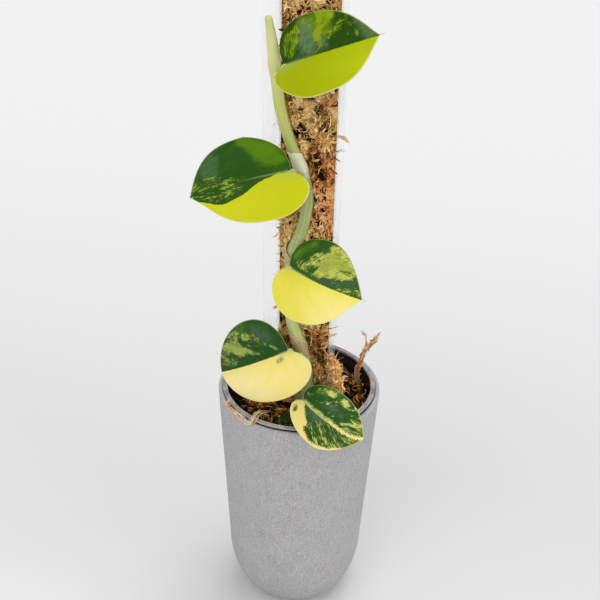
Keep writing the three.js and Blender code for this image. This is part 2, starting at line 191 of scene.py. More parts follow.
def closed_rings(first, rings, last):
    """A closed skin over rings of points, with a single point closing it at each end."""
    rows, sides = rings.shape[:2]
    points = np.vstack([first, rings.reshape(-1, 3), last])
    side = np.arange(sides)
    after = (side + 1) % sides
    end = len(points) - 1
    low = side_by_side(0, after + 1, side + 1)
    top = 1 + (rows - 1) * sides
    high = side_by_side(end, top + side, top + after)
    return points, [ring_faces(rows, sides, 1), low, high]


def turned_rings(profile, sides):
    """Rings of points about +Z: the profile's radius and height at every angle."""
    angle = full_turn(sides)
    radius, height = profile[:, :1], profile[:, 1:]
    return side_by_side(radius * np.cos(angle), radius * np.sin(angle), height)


def turned(profile, sides):
    """A solid turned about +Z from a profile that starts and ends on the axis."""
    profile = np.array(profile, float)
    ends = [[0, 0, profile[0, 1]], [0, 0, profile[-1, 1]]]
    return closed_rings(ends[:1], turned_rings(profile[1:-1], sides), ends[1:])


def rods(paths, wide, thick, flat, sides=4):
    """Many closed rods at once: an ellipse of half-widths wide and thick carried along each path.

    paths has a row of points for each rod, and flat is the way that each rod's flat side looks.
    """
    count, steps = paths.shape[:2]
    tangent = unit(np.gradient(paths, axis=1))
    side = unit(np.cross(tangent, flat[:, None, :]))
    out = np.cross(tangent, side)
    angle = 2 * np.pi * (np.arange(sides) + 0.5) / sides
    rings = (paths[:, :, None] + side[:, :, None] * (wide[..., None] * np.cos(angle))[..., None]
             + out[:, :, None] * (thick[..., None] * np.sin(angle))[..., None])
    start = np.arange(count)[:, None, None] * steps * sides
    walls = (ring_faces(steps, sides)[None] + start).reshape(-1, 4)
    cap = np.arange(sides)
    low = (cap[::-1] + start[:, :, 0]).reshape(-1, sides)
    high = (cap + (steps - 1) * sides + start[:, :, 0]).reshape(-1, sides)
    return rings.reshape(-1, 3), [walls, low, high]


def arcs(pick, roots, heading, bend, length, turn, steps):
    """Curled strands: each starts at its root along heading and turns evenly towards bend.

    Length times (sin(turn t) / turn) along the heading, and length times (1 - cos(turn t)) / turn
    along the bend, with a small wiggle across both.
    """
    t = np.linspace(0, 1, steps)
    sweep = turn[:, None] * t
    ahead = (np.sin(sweep) / turn[:, None])[..., None]
    aside = ((1 - np.cos(sweep)) / turn[:, None])[..., None]
    across = np.cross(heading, bend)[:, None]
    wiggle = 0.06 * np.sin(pick.uniform(3, 7, (len(roots), 1)) * t + pick.uniform(0, 6, (len(roots), 1)))
    wiggle = (wiggle * t)[..., None]
    reach = length[:, None, None]
    return roots[:, None] + reach * (heading[:, None] * ahead + bend[:, None] * aside + across * wiggle)


def any_square(pick, along):
    """A random unit vector square to each given one."""
    return unit(np.cross(along, unit(pick.normal(size=along.shape))))


class Part:
    """A surface with its faces, its material and the values that its pattern reads."""

    def __init__(self, points, faces, material, **fields):
        self.points = np.asarray(points, float)
        self.faces = faces
        self.material = material
        self.fields = fields


def show(name, data):
    """An object of that name for a mesh, lamp or camera, put into the scene."""
    shown = bpy.data.objects.new(name, data)
    bpy.context.scene.collection.objects.link(shown)
    return shown


def aim(shown, right, up, back, place):
    """Stands an object at a place in metres, with its own axes along right, up and back."""
    shown.matrix_world = Matrix([*np.column_stack([right, up, back, place]).tolist(), [0, 0, 0, 1]])


def add_piece(name, parts, node=None):
    """Puts surfaces into the scene as one object, which may stand for a node of the model."""
    mesh = bpy.data.meshes.new(name)
    shift = 0
    corners, sizes, finishes = [], [], []
    for number, part in enumerate(parts):
        for group in part.faces:
            corners.append((group + shift).ravel())
            sizes.append(np.full(len(group), group.shape[1]))
            finishes.append(np.full(len(group), number))
        shift += len(part.points)
        mesh.materials.append(part.material)
    corners, sizes, finishes = map(np.concatenate, (corners, sizes, finishes))
    mesh.vertices.add(shift)
    mesh.vertices.foreach_set("co", np.vstack([part.points for part in parts]).ravel() * MM)
    mesh.loops.add(len(corners))
    mesh.loops.foreach_set("vertex_index", corners)
    mesh.polygons.add(len(sizes))
    mesh.polygons.foreach_set("loop_start", np.concatenate([[0], np.cumsum(sizes)[:-1]]))
    mesh.polygons.foreach_set("material_index", finishes)
    mesh.polygons.foreach_set("use_smooth", np.ones(len(sizes), bool))
    for field in sorted({key for part in parts for key in part.fields}):
        values = np.vstack([part.fields.get(field, np.zeros((len(part.points), 3))) for part in parts])
        attribute = mesh.attributes.new(field, "FLOAT_VECTOR", "POINT")
        attribute.data.foreach_set("vector", values.ravel())
    mesh.update(calc_edges=True)
    mesh.validate()
    piece = show(name, mesh)
    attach(piece, "root")
    if node:
        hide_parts(node)


def shader_colour(colour):
    """A colour as it looks on a screen, 0 to 255, made the linear one that a shader takes.

    Dark values are divided by 12.92, the others shifted, scaled and raised to the power 2.4.
    Another node's output is passed on as it is.
    """
    if isinstance(colour, bpy.types.NodeSocket):
        return colour
    value = np.array(colour) / 255
    linear = np.where(value <= 0.04045, value / 12.92, ((value + 0.055) / 1.055) ** 2.4)
    return (*linear.tolist(), 1.0)


class Finish:
    """A material: one Principled shader and the nodes that feed it, with sizes in millimetres."""

    def __init__(self, name, **constants):
        self.material = bpy.data.materials.new(name)
        self.material.use_nodes = True
        self.tree = self.material.node_tree
        self.shader = self.tree.nodes["Principled BSDF"]
        for socket, value in constants.items():
            self.shader.inputs[socket.replace("_", " ")].default_value = value

    def feed(self, socket, value):
        """Gives a socket a fixed value, or links another node's output to it."""
        if isinstance(value, bpy.types.NodeSocket):
            self.tree.links.new(value, socket)
        else:
            socket.default_value = value

    def add(self, kind, inputs, **settings):
        """A node of that kind, with its inputs fed and its settings made."""
        node = self.tree.nodes.new(kind)
        for key, value in settings.items():
            setattr(node, key, value)
        for key, value in inputs.items():
            self.feed(node.inputs[key], value)
        return node

    def place(self, stretch=(1, 1, 1)):
        """The spot on the object in millimetres, divided by a stretch along each axis."""
        spot = self.tree.nodes.new("ShaderNodeTexCoord").outputs["Object"]
        scale = [1 / MM / value for value in stretch]
        return self.add("ShaderNodeVectorMath", {0: spot, 1: scale}, operation="MULTIPLY").outputs[0]

    def field(self, name, stretch=None):
        """The values of that name that the mesh carries, divided by a stretch along each axis."""
        found = self.add("ShaderNodeAttribute", {}, attribute_name=name).outputs["Vector"]
        if stretch is None:
            return found
        scale = [1 / value for value in stretch]
        return self.add("ShaderNodeVectorMath", {0: found, 1: scale}, operation="MULTIPLY").outputs[0]

    def parts(self, vector):
        """The three numbers of a vector."""
        return self.add("ShaderNodeSeparateXYZ", {0: vector}).outputs

    def clouds(self, where, size, detail=3.0, rough=0.55):
        """Cloudy values round 0.5 with features about as large as the size."""
        inputs = {"Vector": where, "Scale": 1 / size, "Detail": detail, "Roughness": rough}
        return self.add("ShaderNodeTexNoise", inputs).outputs[0]

    def math(self, operation, first, second=0.0, third=0.0):
        """One sum on two or three values."""
        inputs = {0: first, 1: second, 2: third}
        return self.add("ShaderNodeMath", inputs, operation=operation).outputs[0]

    def grade(self, value, low, high, first=0.0, last=1.0):
        """A smooth change from first to last as the value goes from low to high."""
        inputs = {0: value, 1: low, 2: high, 3: first, 4: last}
        return self.add("ShaderNodeMapRange", inputs, interpolation_type="SMOOTHSTEP").outputs[0]

    def blend(self, factor, first, second):
        """The first colour at a factor of 0, the second at 1, and a mixture in between."""
        inputs = {0: factor, 6: shader_colour(first), 7: shader_colour(second)}
        return self.add("ShaderNodeMix", inputs, data_type="RGBA").outputs[2]

    def ramp(self, value, stops):
        """Colours along a value, each stop at its place from 0 to 1."""
        node = self.add("ShaderNodeValToRGB", {0: value})
        stop = node.color_ramp.elements
        while len(stop) < len(stops):
            stop.new(0.5)
        for element, (position, colour) in zip(stop, stops):
            element.position = position
            element.color = shader_colour(colour)
        return node.outputs[0]

    def relief(self, height, depth, strength=1.0):
        """Small relief that is only shaded, with heights in millimetres."""
        inputs = {"Height": height, "Distance": depth * MM, "Strength": strength}
        self.feed(self.shader.inputs["Normal"], self.add("ShaderNodeBump", inputs).outputs[0])

    def colour(self, value):
        """Sets the surface's colour."""
        self.feed(self.shader.inputs["Base Color"], shader_colour(value))

    def rough(self, value):
        """Sets a roughness that changes over the surface."""
        self.feed(self.shader.inputs["Roughness"], value)


# Planter

def planter_radius(height):
    """Outer radius: a straight taper above the bend, a quarter ellipse below it."""
    if height >= PLANTER_BEND:
        part = (height - PLANTER_BEND) / (PLANTER_HEIGHT - PLANTER_BEND)
        return mix(PLANTER_BEND_RADIUS, PLANTER_RIM, part)
    down = 1 - height / PLANTER_BEND
    return mix(PLANTER_BASE_RADIUS, PLANTER_BEND_RADIUS, np.sqrt(1 - down * down))


def round_edge(centre, radius, first, last, steps):
    """Points on an arc round a centre, between two angles in degrees."""
    angle = np.radians(np.linspace(first, last, steps + 1))
    return side_by_side(centre[0] + radius * np.cos(angle), centre[1] + radius * np.sin(angle))


def planter_surface():
    """The planter's profile, turned: foot arc, straight outside, rounded rim and the same inside.

    Its points also carry whether they are inside the planter, where its shade is painted.
    """
    angle = np.radians(np.linspace(0, 90, 31))
    rise = 1 - np.cos(angle)
    foot = side_by_side(mix(PLANTER_BASE_RADIUS, PLANTER_BEND_RADIUS, np.sin(angle)), PLANTER_BEND * rise)
    hollow = side_by_side(foot[:, 0] - PLANTER_WALL, mix(PLANTER_FLOOR, PLANTER_BEND, rise))
    outer_round, inner_round = 2.2, 0.8
    shoulder = PLANTER_HEIGHT - outer_round
    wall_heights = np.linspace(PLANTER_BEND, shoulder, 24)[1:-1]
    wall = np.array([[planter_radius(height), height] for height in wall_heights])
    outer_top = [planter_radius(shoulder) - outer_round, shoulder]
    inner_top = [PLANTER_RIM - PLANTER_WALL + inner_round, PLANTER_HEIGHT - inner_round]
    outside = np.vstack([foot, wall, round_edge(outer_top, outer_round, 0, 90, 8)])
    inside = np.vstack([round_edge(inner_top, inner_round, 90, 180, 5), hollow[::-1]])
    sides = 180
    points, faces = turned([[0, 0], *outside, *inside, [0, PLANTER_FLOOR]], sides)
    hidden = np.concatenate([[0], np.repeat([0, 1], [len(outside) * sides, len(inside) * sides]), [1]])
    return points, faces, side_by_side(hidden, hidden, hidden)


def planter_finish():
    """Matte grey with a sandy grain, faint upright lines and dark specks; painted dark grey shade inside."""
    finish = Finish("planter_grey", Roughness=0.85, Specular_IOR_Level=0.15)
    spot = finish.place()
    grain = finish.clouds(spot, 0.95, 4, 0.85)
    lines = finish.clouds(finish.place((1, 1, 5)), 1.3, 3, 0.6)
    clouds = finish.clouds(spot, 20, 3)
    height = finish.parts(spot)[2]
    tone = finish.math("MULTIPLY_ADD", lines, 0.12, finish.math("MULTIPLY", grain, 0.8))
    tone = finish.math("MULTIPLY_ADD", clouds, 0.08, tone)
    body = finish.ramp(tone, [(0.37, (136, 135, 136)), (0.5, (168, 166, 167)), (0.63, (199, 197, 197))])
    near_rim = finish.grade(height, 192, 209)
    marks = finish.grade(finish.clouds(spot, 2.2, 4, 0.7), 0.62, 0.68)
    marks = finish.math("MULTIPLY", marks, finish.math("MULTIPLY_ADD", near_rim, 0.85, 0.05))
    body = finish.blend(marks, body, (84, 82, 80))
    hidden = finish.parts(finish.field("hidden"))[0]
    # Painted shade: the inside of the planter is coloured dark grey.
    finish.colour(finish.blend(hidden, body, (52, 52, 52)))
    finish.relief(finish.math("ADD", grain, lines), 0.3, 0.6)
    return finish.material


# Nursery pot

def pot_radius(height):
    """Inner radius of the nursery pot, a straight taper down from its mouth."""
    return mix(POT_MOUTH, POT_FOOT, (PLANTER_HEIGHT - height) / POT_DEPTH)


def pot_surface():
    """The clear pot, turned: foot, outside, flange with a rolled edge and an inner bead, inside."""
    foot = PLANTER_HEIGHT - POT_DEPTH
    seat = PLANTER_HEIGHT + 0.3
    floor = foot + 1.2
    corner = 2.5
    going_up, going_down = np.linspace(foot + corner, seat - 3, 14), np.linspace(seat - 1, floor + corner, 14)
    outside = [[pot_radius(height) + POT_SHEET, height] for height in going_up]
    inside = [[pot_radius(height), height] for height in going_down]
    flange = [
        [POT_MOUTH + 0.8, seat - 0.4], [POT_MOUTH + 1.4, seat + 0.1], [POT_FLANGE - 1.4, seat + 0.1],
        *round_edge([POT_FLANGE - 0.75, seat + 0.8], 0.75, -120, 130, 10),
        [POT_FLANGE - 1.7, seat + 0.95], [POT_FLANGE - 2.2, seat + 0.9],
        *round_edge([POT_MOUTH + 0.6, seat + 1.0], 0.6, 50, 180, 8)]
    profile = np.vstack([
        [[0, foot]], [[pot_radius(foot) + POT_SHEET - corner, foot]],
        round_edge([pot_radius(foot) + POT_SHEET - corner, foot + corner], corner, -60, -10, 3),
        outside, flange, inside,
        round_edge([pot_radius(floor) - corner, floor + corner], corner, -10, -80, 3),
        [[0, floor]]])
    points, faces = turned(profile, 160)
    return points + POT_CENTRE, faces


def pot_finish():
    """Clear plastic: painted shade makes the wall dark where it hangs in the planter; a milky grey flange."""
    finish = Finish("clear_pot", Roughness=0.18, Specular_IOR_Level=0.75, IOR=1.5)
    spot = finish.place()
    flange = finish.grade(finish.parts(spot)[2], PLANTER_HEIGHT - 0.4, PLANTER_HEIGHT + 0.4)
    haze = finish.clouds(spot, 9, 3)
    milky = finish.ramp(haze, [(0.35, (138, 135, 137)), (0.65, (186, 183, 184))])
    # Painted shade: the wall below the flange is coloured nearly black, the flange milky grey.
    finish.colour(finish.blend(flange, (34, 38, 40), milky))
    finish.feed(finish.shader.inputs["Alpha"], finish.math("MULTIPLY_ADD", flange, 0.3, 0.5))
    finish.relief(finish.clouds(spot, 6, 2), 0.3, 0.3)
    return finish.material


# Moss mix

def soil_height(x, y):
    """The mix's level with a ripple, and a flat-topped mound against the right of the pole."""
    away = ((x - MOUND_AT[0]) / MOUND_REACH[0]) ** 2 + ((y - MOUND_AT[1]) / MOUND_REACH[1]) ** 2
    ripple = 3 * (bumps(x / 9, y / 9, 2) + 0.5 * bumps(x / 4, y / 4, 7))
    return SOIL_LEVEL + ripple + MOUND_RISE * np.exp(-(away**1.6))


def soil_surface():
    """The root ball: a tapered block with a crumbly top, heights worked out on a polar grid.

    Its points also carry how high they lie on a lump, for painted light and shade on the mix.
    """
    foot = PLANTER_HEIGHT - POT_DEPTH + 1.5
    edge = pot_radius(SOIL_LEVEL - 6) - 0.5
    sides, rings = 150, 60
    angle = full_turn(sides)
    block = [[pot_radius(height) - 0.5, height] for height in np.linspace(foot + 3, SOIL_LEVEL - 9, 10)]
    walls = turned_rings(np.array([[pot_radius(foot) - 4, foot], *block]), sides)
    radius = edge * np.linspace(1, 1 / rings, rings)[:, None]
    x, y = radius * np.cos(angle), radius * np.sin(angle)
    inner = ease(radius, edge, edge - 4)
    top = side_by_side(x, y, soil_height(x, y) + soil_lumps(x, y) * inner)
    centre = [[0, 0, float(soil_height(np.array(0.0), np.array(0.0)))]]
    points, faces = closed_rings([[0, 0, foot]], np.concatenate([walls, top]), centre)
    tone_and_shade = np.zeros(len(points))
    # Painted light and shade: the mix is paler on its lumps and darker in the hollows between them.
    tone_and_shade[1 + walls[..., 0].size:-1] = (0.45 + 0.16 * soil_lumps(x, y)).ravel()
    return points + POT_CENTRE, faces, side_by_side(tone_and_shade, 0, 0)


def soil_lumps(x, y):
    """Clods on the mix: sharp hollows between rounded lumps, with crumbs on them."""
    clods = 4.2 * np.abs(bumps(x / 7.5, y / 7.5, 4)) + 2.4 * np.abs(bumps(x / 3.4, y / 3.4, 8)) - 2.0
    return clods + 0.7 * bumps(x / 1.5, y / 1.5, 5)


def litter_finish(name, places, plain, patch):
    """Dry moss or bark: each strand has its tint on a ramp, in red patches on another, and pale tips.

    Both ramps have their colours at the same places from 0 to 1.
    """
    finish = Finish(name, Roughness=0.9, Specular_IOR_Level=0.06)
    spot = finish.place()
    tint, tip, red = finish.parts(finish.field("strand"))
    grain = finish.clouds(spot, 0.9, 4, 0.7)
    value = finish.math("MULTIPLY_ADD", grain, 0.9, finish.math("SUBTRACT", tint, 0.45))
    plain_ramp = finish.ramp(value, list(zip(places, plain)))
    patch_ramp = finish.ramp(value, list(zip(places, patch)))
    colour = finish.blend(finish.grade(red, 0.0, 1.0), plain_ramp, patch_ramp)
    finish.colour(finish.blend(finish.math("MULTIPLY", tip, 0.25), colour, (242, 216, 164)))
    finish.relief(grain, 0.3, 0.7)
    return finish.material


def soil_finish():
    """Moss mix with painted light and shade: nearly black in its hollows, golden brown on its crests."""
    finish = Finish("moss_mix", Roughness=0.9, Specular_IOR_Level=0.06)
    spot = finish.place()
    tone_and_shade = finish.parts(finish.field("strand"))[0]
    crumbs = finish.clouds(spot, 1.6, 5, 0.72)
    # Painted shade in the hollows and painted light on the lumps, with crumbs of the mix's own colour.
    value = finish.math("MULTIPLY_ADD", crumbs, 1.0, finish.math("MULTIPLY_ADD", tone_and_shade, 0.8, -0.42))
    finish.colour(finish.ramp(value, [
        (0.3, (8, 5, 3)), (0.5, (32, 17, 6)), (0.63, (92, 53, 14)), (0.77, (164, 106, 34)),
        (0.95, (210, 156, 78))]))
    finish.relief(crumbs, 1.2, 0.8)
    return finish.material


# Moss pole

def to_pole(points):
    """Points in the pole's own upright frame turned, leaned and moved to the pole's place."""
    turn, lean = np.radians(POLE_TURN), np.radians(POLE_LEAN)
    x = points[..., 0] * np.cos(turn) - points[..., 1] * np.sin(turn)
    y = points[..., 0] * np.sin(turn) + points[..., 1] * np.cos(turn)
    z = points[..., 2]
    return side_by_side(
        x * np.cos(lean) + z * np.sin(lean) + POLE_AT[0], y + POLE_AT[1],
        z * np.cos(lean) - x * np.sin(lean) + POLE_FOOT)


def channel_line():
    """The channel sheet's middle line from the left lip round the back to the right lip.

    Straight flared lips, small bends, short straight sides and a half circle.
    """
    radius, bend = CHANNEL_MIDDLE, 2.0
    flare = np.radians(LIP_FLARE)

    def lip(length, side):
        """The point of a lip at that length from the corner."""
        aside, forward = length * np.cos(flare), length * np.sin(flare)
        return np.array([side * (radius + aside), -CHANNEL_STRAIGHT - forward])

    def corner(side):
        """A small bend from lip to side: a quadratic curve whose middle point is the sharp corner."""
        t = np.linspace(0, 1, 8)[:, None]
        ends = lip(bend, side), np.array([side * radius, -CHANNEL_STRAIGHT + bend])
        middle = np.array([side * radius, -CHANNEL_STRAIGHT])
        return (1 - t) ** 2 * ends[0] + 2 * t * (1 - t) * middle + t**2 * ends[1]

    left = mix(lip(0, -1), lip(LIP_LEFT, -1), np.linspace(1, bend / LIP_LEFT, 9)[:-1, None])
    right = mix(lip(0, 1), lip(LIP_RIGHT, 1), np.linspace(bend / LIP_RIGHT, 1, 7)[1:, None])
    angle = np.linspace(np.pi, 0, 61)
    back = radius * side_by_side(np.cos(angle), np.sin(angle))
    return np.vstack([left, corner(-1), back[1:-1], corner(1)[::-1], right])


def sheet_end(count):
    """Faces that close a loop of two rows of that many points, one out and the other back."""
    pair = np.arange(count - 1)
    return side_by_side(pair, pair + 1, 2 * count - 2 - pair, 2 * count - 1 - pair)


def channel_surface():
    """A thin sheet on the channel's line, rounded at both lips and gently wavy up its height.

    Both faces of the sheet, half its thickness off the line, make one closed loop, and the loop
    is repeated up the pole.
    """
    line = channel_line()
    run = unit(np.gradient(line, axis=0))
    side = side_by_side(-run[:, 1], run[:, 0])
    count, rows = len(line), 61
    ends = np.minimum(np.arange(count), np.arange(count)[::-1])
    half = CHANNEL_SHEET / 2 * np.where(ends == 0, 0.35, np.where(ends == 1, 0.85, 1.0))[:, None]
    loop = np.vstack([line + side * half, (line - side * half)[::-1]])
    rings = side_by_side(loop[:, 0], loop[:, 1], np.linspace(0, POLE_LENGTH, rows)[:, None])
    lips = ease(-rings[..., 1], CHANNEL_STRAIGHT, CHANNEL_STRAIGHT + 5)
    rings[..., 0] += 0.25 * lips * bumps(rings[..., 2] / 60, np.sign(rings[..., 0]), 3)
    low = sheet_end(count)
    high = low[:, ::-1] + (rows - 1) * 2 * count
    return to_pole(rings).reshape(-1, 3), [ring_faces(rows, 2 * count)[:, ::-1], low, high]


def channel_finish():
    """Clear glossy sheet: almost unseen face on, whitish where it is seen edge on."""
    finish = Finish("clear_channel", Roughness=0.1, Specular_IOR_Level=0.35, IOR=1.5)
    finish.colour((244, 245, 245))
    edge = finish.add("ShaderNodeLayerWeight", {"Blend": 0.35}).outputs["Facing"]
    smudge = finish.grade(finish.clouds(finish.place((1, 1, 9)), 7, 3), 0.42, 0.7, 0.0, 0.14)
    see_through = finish.grade(edge, 0.1, 1.0, 0.05, 0.32)
    finish.feed(finish.shader.inputs["Alpha"], finish.math("ADD", see_through, smudge))
    return finish.material


def moss_gaps(x, z):
    """Gaps between the clumps of moss, from 0 on a clump to 1 deep in a gap; painted shade darkens them."""
    field = bumps(x / 4.6, z / 5.2, 40) + 0.55 * bumps(x / 2.3, z / 2.6, 41)
    return ease(-field, 0.38, 0.85)


def moss_swell(x, z):
    """Broad swellings and hollows of the moss, from -1.6 to 1.6."""
    return bumps(x / 6.5, z / 11, 4) + 0.6 * bumps(x / 3.2, z / 5.5, 9)


def moss_front(x, z):
    """Depth of the moss crown in front of the pole's axis, at x across it and z above its foot.

    A flat dome, which is a half circle's height raised to a power, with broad swellings, creased
    clumps of two sizes and grit on it, and gaps cut into it. All fade towards both edges.
    """
    across = np.sqrt(np.clip(1 - (x / MOSS_RADIUS) ** 2, 0, 1))
    crown = MOSS_CROWN * across**0.6
    swell = 1.6 * moss_swell(x, z) * ease(z + POLE_FOOT, SOIL_LEVEL - 10, SOIL_LEVEL + 10)
    clumps = 2.0 * np.abs(bumps(x / 3.4, z / 3.8, 15)) + 1.1 * np.abs(bumps(x / 1.7, z / 1.9, 16)) - 0.9
    return crown + across * (swell + clumps + 0.4 * bumps(x / 0.9, z, 8) - 3.4 * moss_gaps(x, z))


# Redder, paler and greener stretches of the moss: distance across the pole, height above the
# floor, reach and strength
RED_MOSS = [(10, 408, 13, 1.0), (8, 384, 16, 1.1), (13, 364, 8, 0.9), (-6, 300, 12, 0.6), (12, 500, 12, 0.5)]
PALE_MOSS = [(3, 360, 13, 1.4), (-14, 356, 14, 1.3), (0, 452, 22, 0.8), (6, 520, 22, 0.9), (-8, 425, 12, 0.5)]
GREEN_MOSS = [(9, 430, 12, 1.0), (-13, 352, 11, 0.8), (4, 462, 10, 0.6), (-4, 330, 9, 0.5)]


def stretches(patches, x, z):
    """How strongly the listed stretches show, from 0 to 1.

    Soft round spots, each its strength times a bell across and one up, are added and then broken
    up by cloudy bumps.
    """
    height = z + POLE_FOOT
    total = sum(
        strength * bell(x - across, reach) * bell(height - at, reach)
        for across, at, reach, strength in patches)
    return np.clip(total * (1 + 0.9 * bumps(x / 4, z / 6, len(patches))), 0, 1)


def top_lumps(x, y):
    """Lumps on the moss's cut top: rounded clods with crumbs on them."""
    return 1.5 * np.abs(bumps(x / 3.4, y / 3.4, 15)) + 0.8 * np.abs(bumps(x / 1.6, y / 1.6, 16)) - 0.3


def moss_surface():
    """The moss core: a half-round back against the channel and a lumpy crown in front.

    Each ring joins the crown's depth, at points that crowd towards both edges, to a half circle
    with small dents. Shrinking rings with lumps on them close the cut top. The points also carry
    a tone with painted light and shade, high on clumps and low in gaps, and a redness, for the colour.
    """
    rows, front, back = 400, 100, 46
    z = np.linspace(0, MOSS_LENGTH, rows)[:, None]
    x = -np.cos(np.linspace(0, np.pi, front))[None, :] * MOSS_RADIUS
    crown = side_by_side(x, -moss_front(x, z), z)
    angle = np.linspace(0, np.pi, back + 2)[None, 1:-1]
    large, small = bumps(angle * 6, z / 4, 11), bumps(angle * 14, z / 2, 12)
    radius = MOSS_RADIUS - (0.5 * np.clip(large, 0, 1) + 0.4 * np.clip(small, 0, 1))
    shell = side_by_side(radius * np.cos(angle), radius * np.sin(angle), z)
    rings = np.concatenate([crown, shell], axis=1)
    rings[-1, :, 2] -= 0.4
    middle = np.array([0.0, 5.0, MOSS_LENGTH])
    top = mix(middle, rings[-1], np.linspace(1, 0, 16)[1:-1, None, None])
    lumps = top_lumps(top[..., 0], top[..., 1])
    top[..., 2] = middle[2] + lumps
    points, faces = closed_rings([[0, 5, 0]], np.concatenate([rings, top]), middle[None] + [[0, 0, 0.6]])

    x, y, z = points.T
    open_side = y < 2
    dome = MOSS_CROWN * np.clip(1 - (x / MOSS_RADIUS) ** 2, 0, 1) ** 0.3
    # Painted light and shade: paler where the crown stands out and on its swellings, darker in its gaps,
    # paler on the top's lumps. The pale stretches and the pressed back are the moss's own tone.
    tone_and_shade = np.where(open_side, 0.35 + 0.12 * (-y - dome + 0.4), 0.42)
    tone_and_shade = tone_and_shade + 0.12 * stretches(PALE_MOSS, x, z) + 0.08 * moss_swell(x, z)
    pressed = 0.2 * bumps(x / 2.2, y / 2.2, z / 3) - 0.2 * ease(bumps(x / 4, y / 4, z / 5), 0.3, 0.8)
    tone_and_shade = tone_and_shade + np.where(open_side, -0.26 * moss_gaps(x, z), pressed)
    tone_and_shade[1 + rings[..., 0].size:] = np.append(0.3 + 0.16 * lumps.ravel(), 0.4)
    return to_pole(points), faces, side_by_side(tone_and_shade, 0, stretches(RED_MOSS, x, z))


def moss_finish():
    """Matted moss, painted shade and light: nearly black in gaps, tan to cream on crests, redder patches."""
    finish = Finish("moss_core", Roughness=0.95, Specular_IOR_Level=0.1)
    tone_and_shade, _, red = finish.parts(finish.field("strand"))
    grain = finish.clouds(finish.place(), 1.5, 5, 0.72)
    value = finish.math("MULTIPLY_ADD", grain, 1.1, finish.math("SUBTRACT", tone_and_shade, 0.5))
    dry = [(0.16, (34, 19, 9)), (0.32, (114, 74, 30)), (0.46, (198, 148, 80)), (0.7, (244, 210, 142))]
    warm = [(0.16, (34, 16, 8)), (0.32, (112, 54, 22)), (0.46, (188, 112, 58)), (0.7, (236, 178, 116))]
    finish.colour(finish.blend(red, finish.ramp(value, dry), finish.ramp(value, warm)))
    finish.relief(grain, 1.2, 0.8)
    return finish.material


# Stem

def stem_line(count):
    """The stem's middle line as that many points."""
    return curve(STEM_PATH, count)


def stem_radius(along, height):
    """A slow taper, swollen at the nodes and drawn in at the growing tip."""
    body = mix(STEM_FOOT_RADIUS, STEM_TOP_RADIUS, along)
    body = mix(body, STEM_TIP_RADIUS, ease(along, 0.93, 1))
    swell = sum(bell(height - node, 6) for node in STEM_NODES)
    ring = sum(bell(height - node - 2, 0.9) for node in STEM_NODES)
    dome = np.sqrt(np.clip(1 - (1 - np.clip((1 - along) / 0.007, 0, 1)) ** 2, 0.01, 1))
    return (body + 0.7 * swell + 0.12 * ring) * dome


def stem_frame(line):
    """For each point of the stem's line, the way to its right side and out of its front."""
    tangent = unit(np.gradient(line, axis=0))
    front = np.array([0.0, -1.0, 0.0])
    out = unit(front - tangent * (tangent @ front)[:, None])
    return np.cross(tangent, out), out


def stem_surface():
    """A flattened tube along the stem's line, with shallow grooves along it.

    Its points also carry how far along and how far round the stem they are, and how near a node.
    """
    count, sides = 420, 40
    line = stem_line(count)
    along = np.linspace(0, 1, count)
    side, out = stem_frame(line)
    angle = full_turn(sides)
    grooves = 1 + 0.012 * np.cos(9 * angle) + 0.008 * bumps(angle * 2.5, along[:, None] * 40, 2)
    radius = stem_radius(along, line[:, 2])[:, None] * grooves
    rings = (line[:, None] + side[:, None] * (radius * np.cos(angle))[..., None]
             + out[:, None] * (radius * np.sin(angle) * STEM_THICKNESS)[..., None])
    tip = line[-1:] + unit(line[-1:] - line[-2:-1]) * 0.2
    points, faces = closed_rings(line[:1] - [[0, 0, 0.4]], rings, tip)
    run = np.repeat(along, sides)
    around = np.tile(angle, count)
    node = np.repeat(sum(bell(line[:, 2] - at, 7) for at in STEM_NODES), sides)
    inner = side_by_side(run, around, node)
    return points, faces, np.vstack([[[0, 0, 0]], inner, [[1, 0, 0]]])


def sheath_surface(low, high, angles, lift, seed):
    """A thin papery sleeve on the stem's front, two sheets joined along a rim.

    It spans the angles from the front (left is negative). low and high are its margins' heights
    at the left and at the right. It leaves the stem's skin smoothly, stands off by lift at its
    upper margin, and that margin is a little wavy.
    """
    rows, columns = 26, 30
    line = stem_line(900)
    side, out = stem_frame(line)
    radius = stem_radius(np.linspace(0, 1, len(line)), line[:, 2])
    up = np.linspace(0, 1, rows)[:, None]
    part = np.linspace(0, 1, columns)[None, :]
    across = np.radians(mix(angles[0], angles[1], part))
    wavy = 0.7 * bumps(across * 2.5, seed, 1) + 0.3 * bumps(across * 8, seed, 4)
    height = mix(mix(low[0], low[1], part), mix(high[0], high[1], part) + wavy, up)
    at = np.interp(height, line[:, 2], np.arange(len(line)))

    def along(values):
        """Values of the stem's line at the sleeve's heights."""
        return np.stack([np.interp(at, np.arange(len(line)), column) for column in values.T], axis=-1)

    centre, side, out = along(line), along(side), along(out)
    radius = np.interp(at, np.arange(len(line)), radius)
    ripple = 0.1 * bumps(across * 5, up * 4, seed)
    sheets = []
    for off in (0.22, -0.05):
        reach = radius + off + lift * up**2 + ripple * up - 0.5 * (1 - up) ** 4
        sheets.append(centre + side * (reach * np.sin(across))[..., None]
                      + out * (reach * np.cos(across) * STEM_THICKNESS)[..., None])
    loop = np.concatenate([sheets[0], sheets[1][:, ::-1]], axis=1)
    count, rim = 2 * columns, sheet_end(columns)
    faces = [ring_faces(rows, count), rim[:, ::-1], rim + (rows - 1) * count]
    run = side_by_side(up, np.linspace(0, 1, count), 0)
    return loop.reshape(-1, 3), faces, run.reshape(-1, 3)


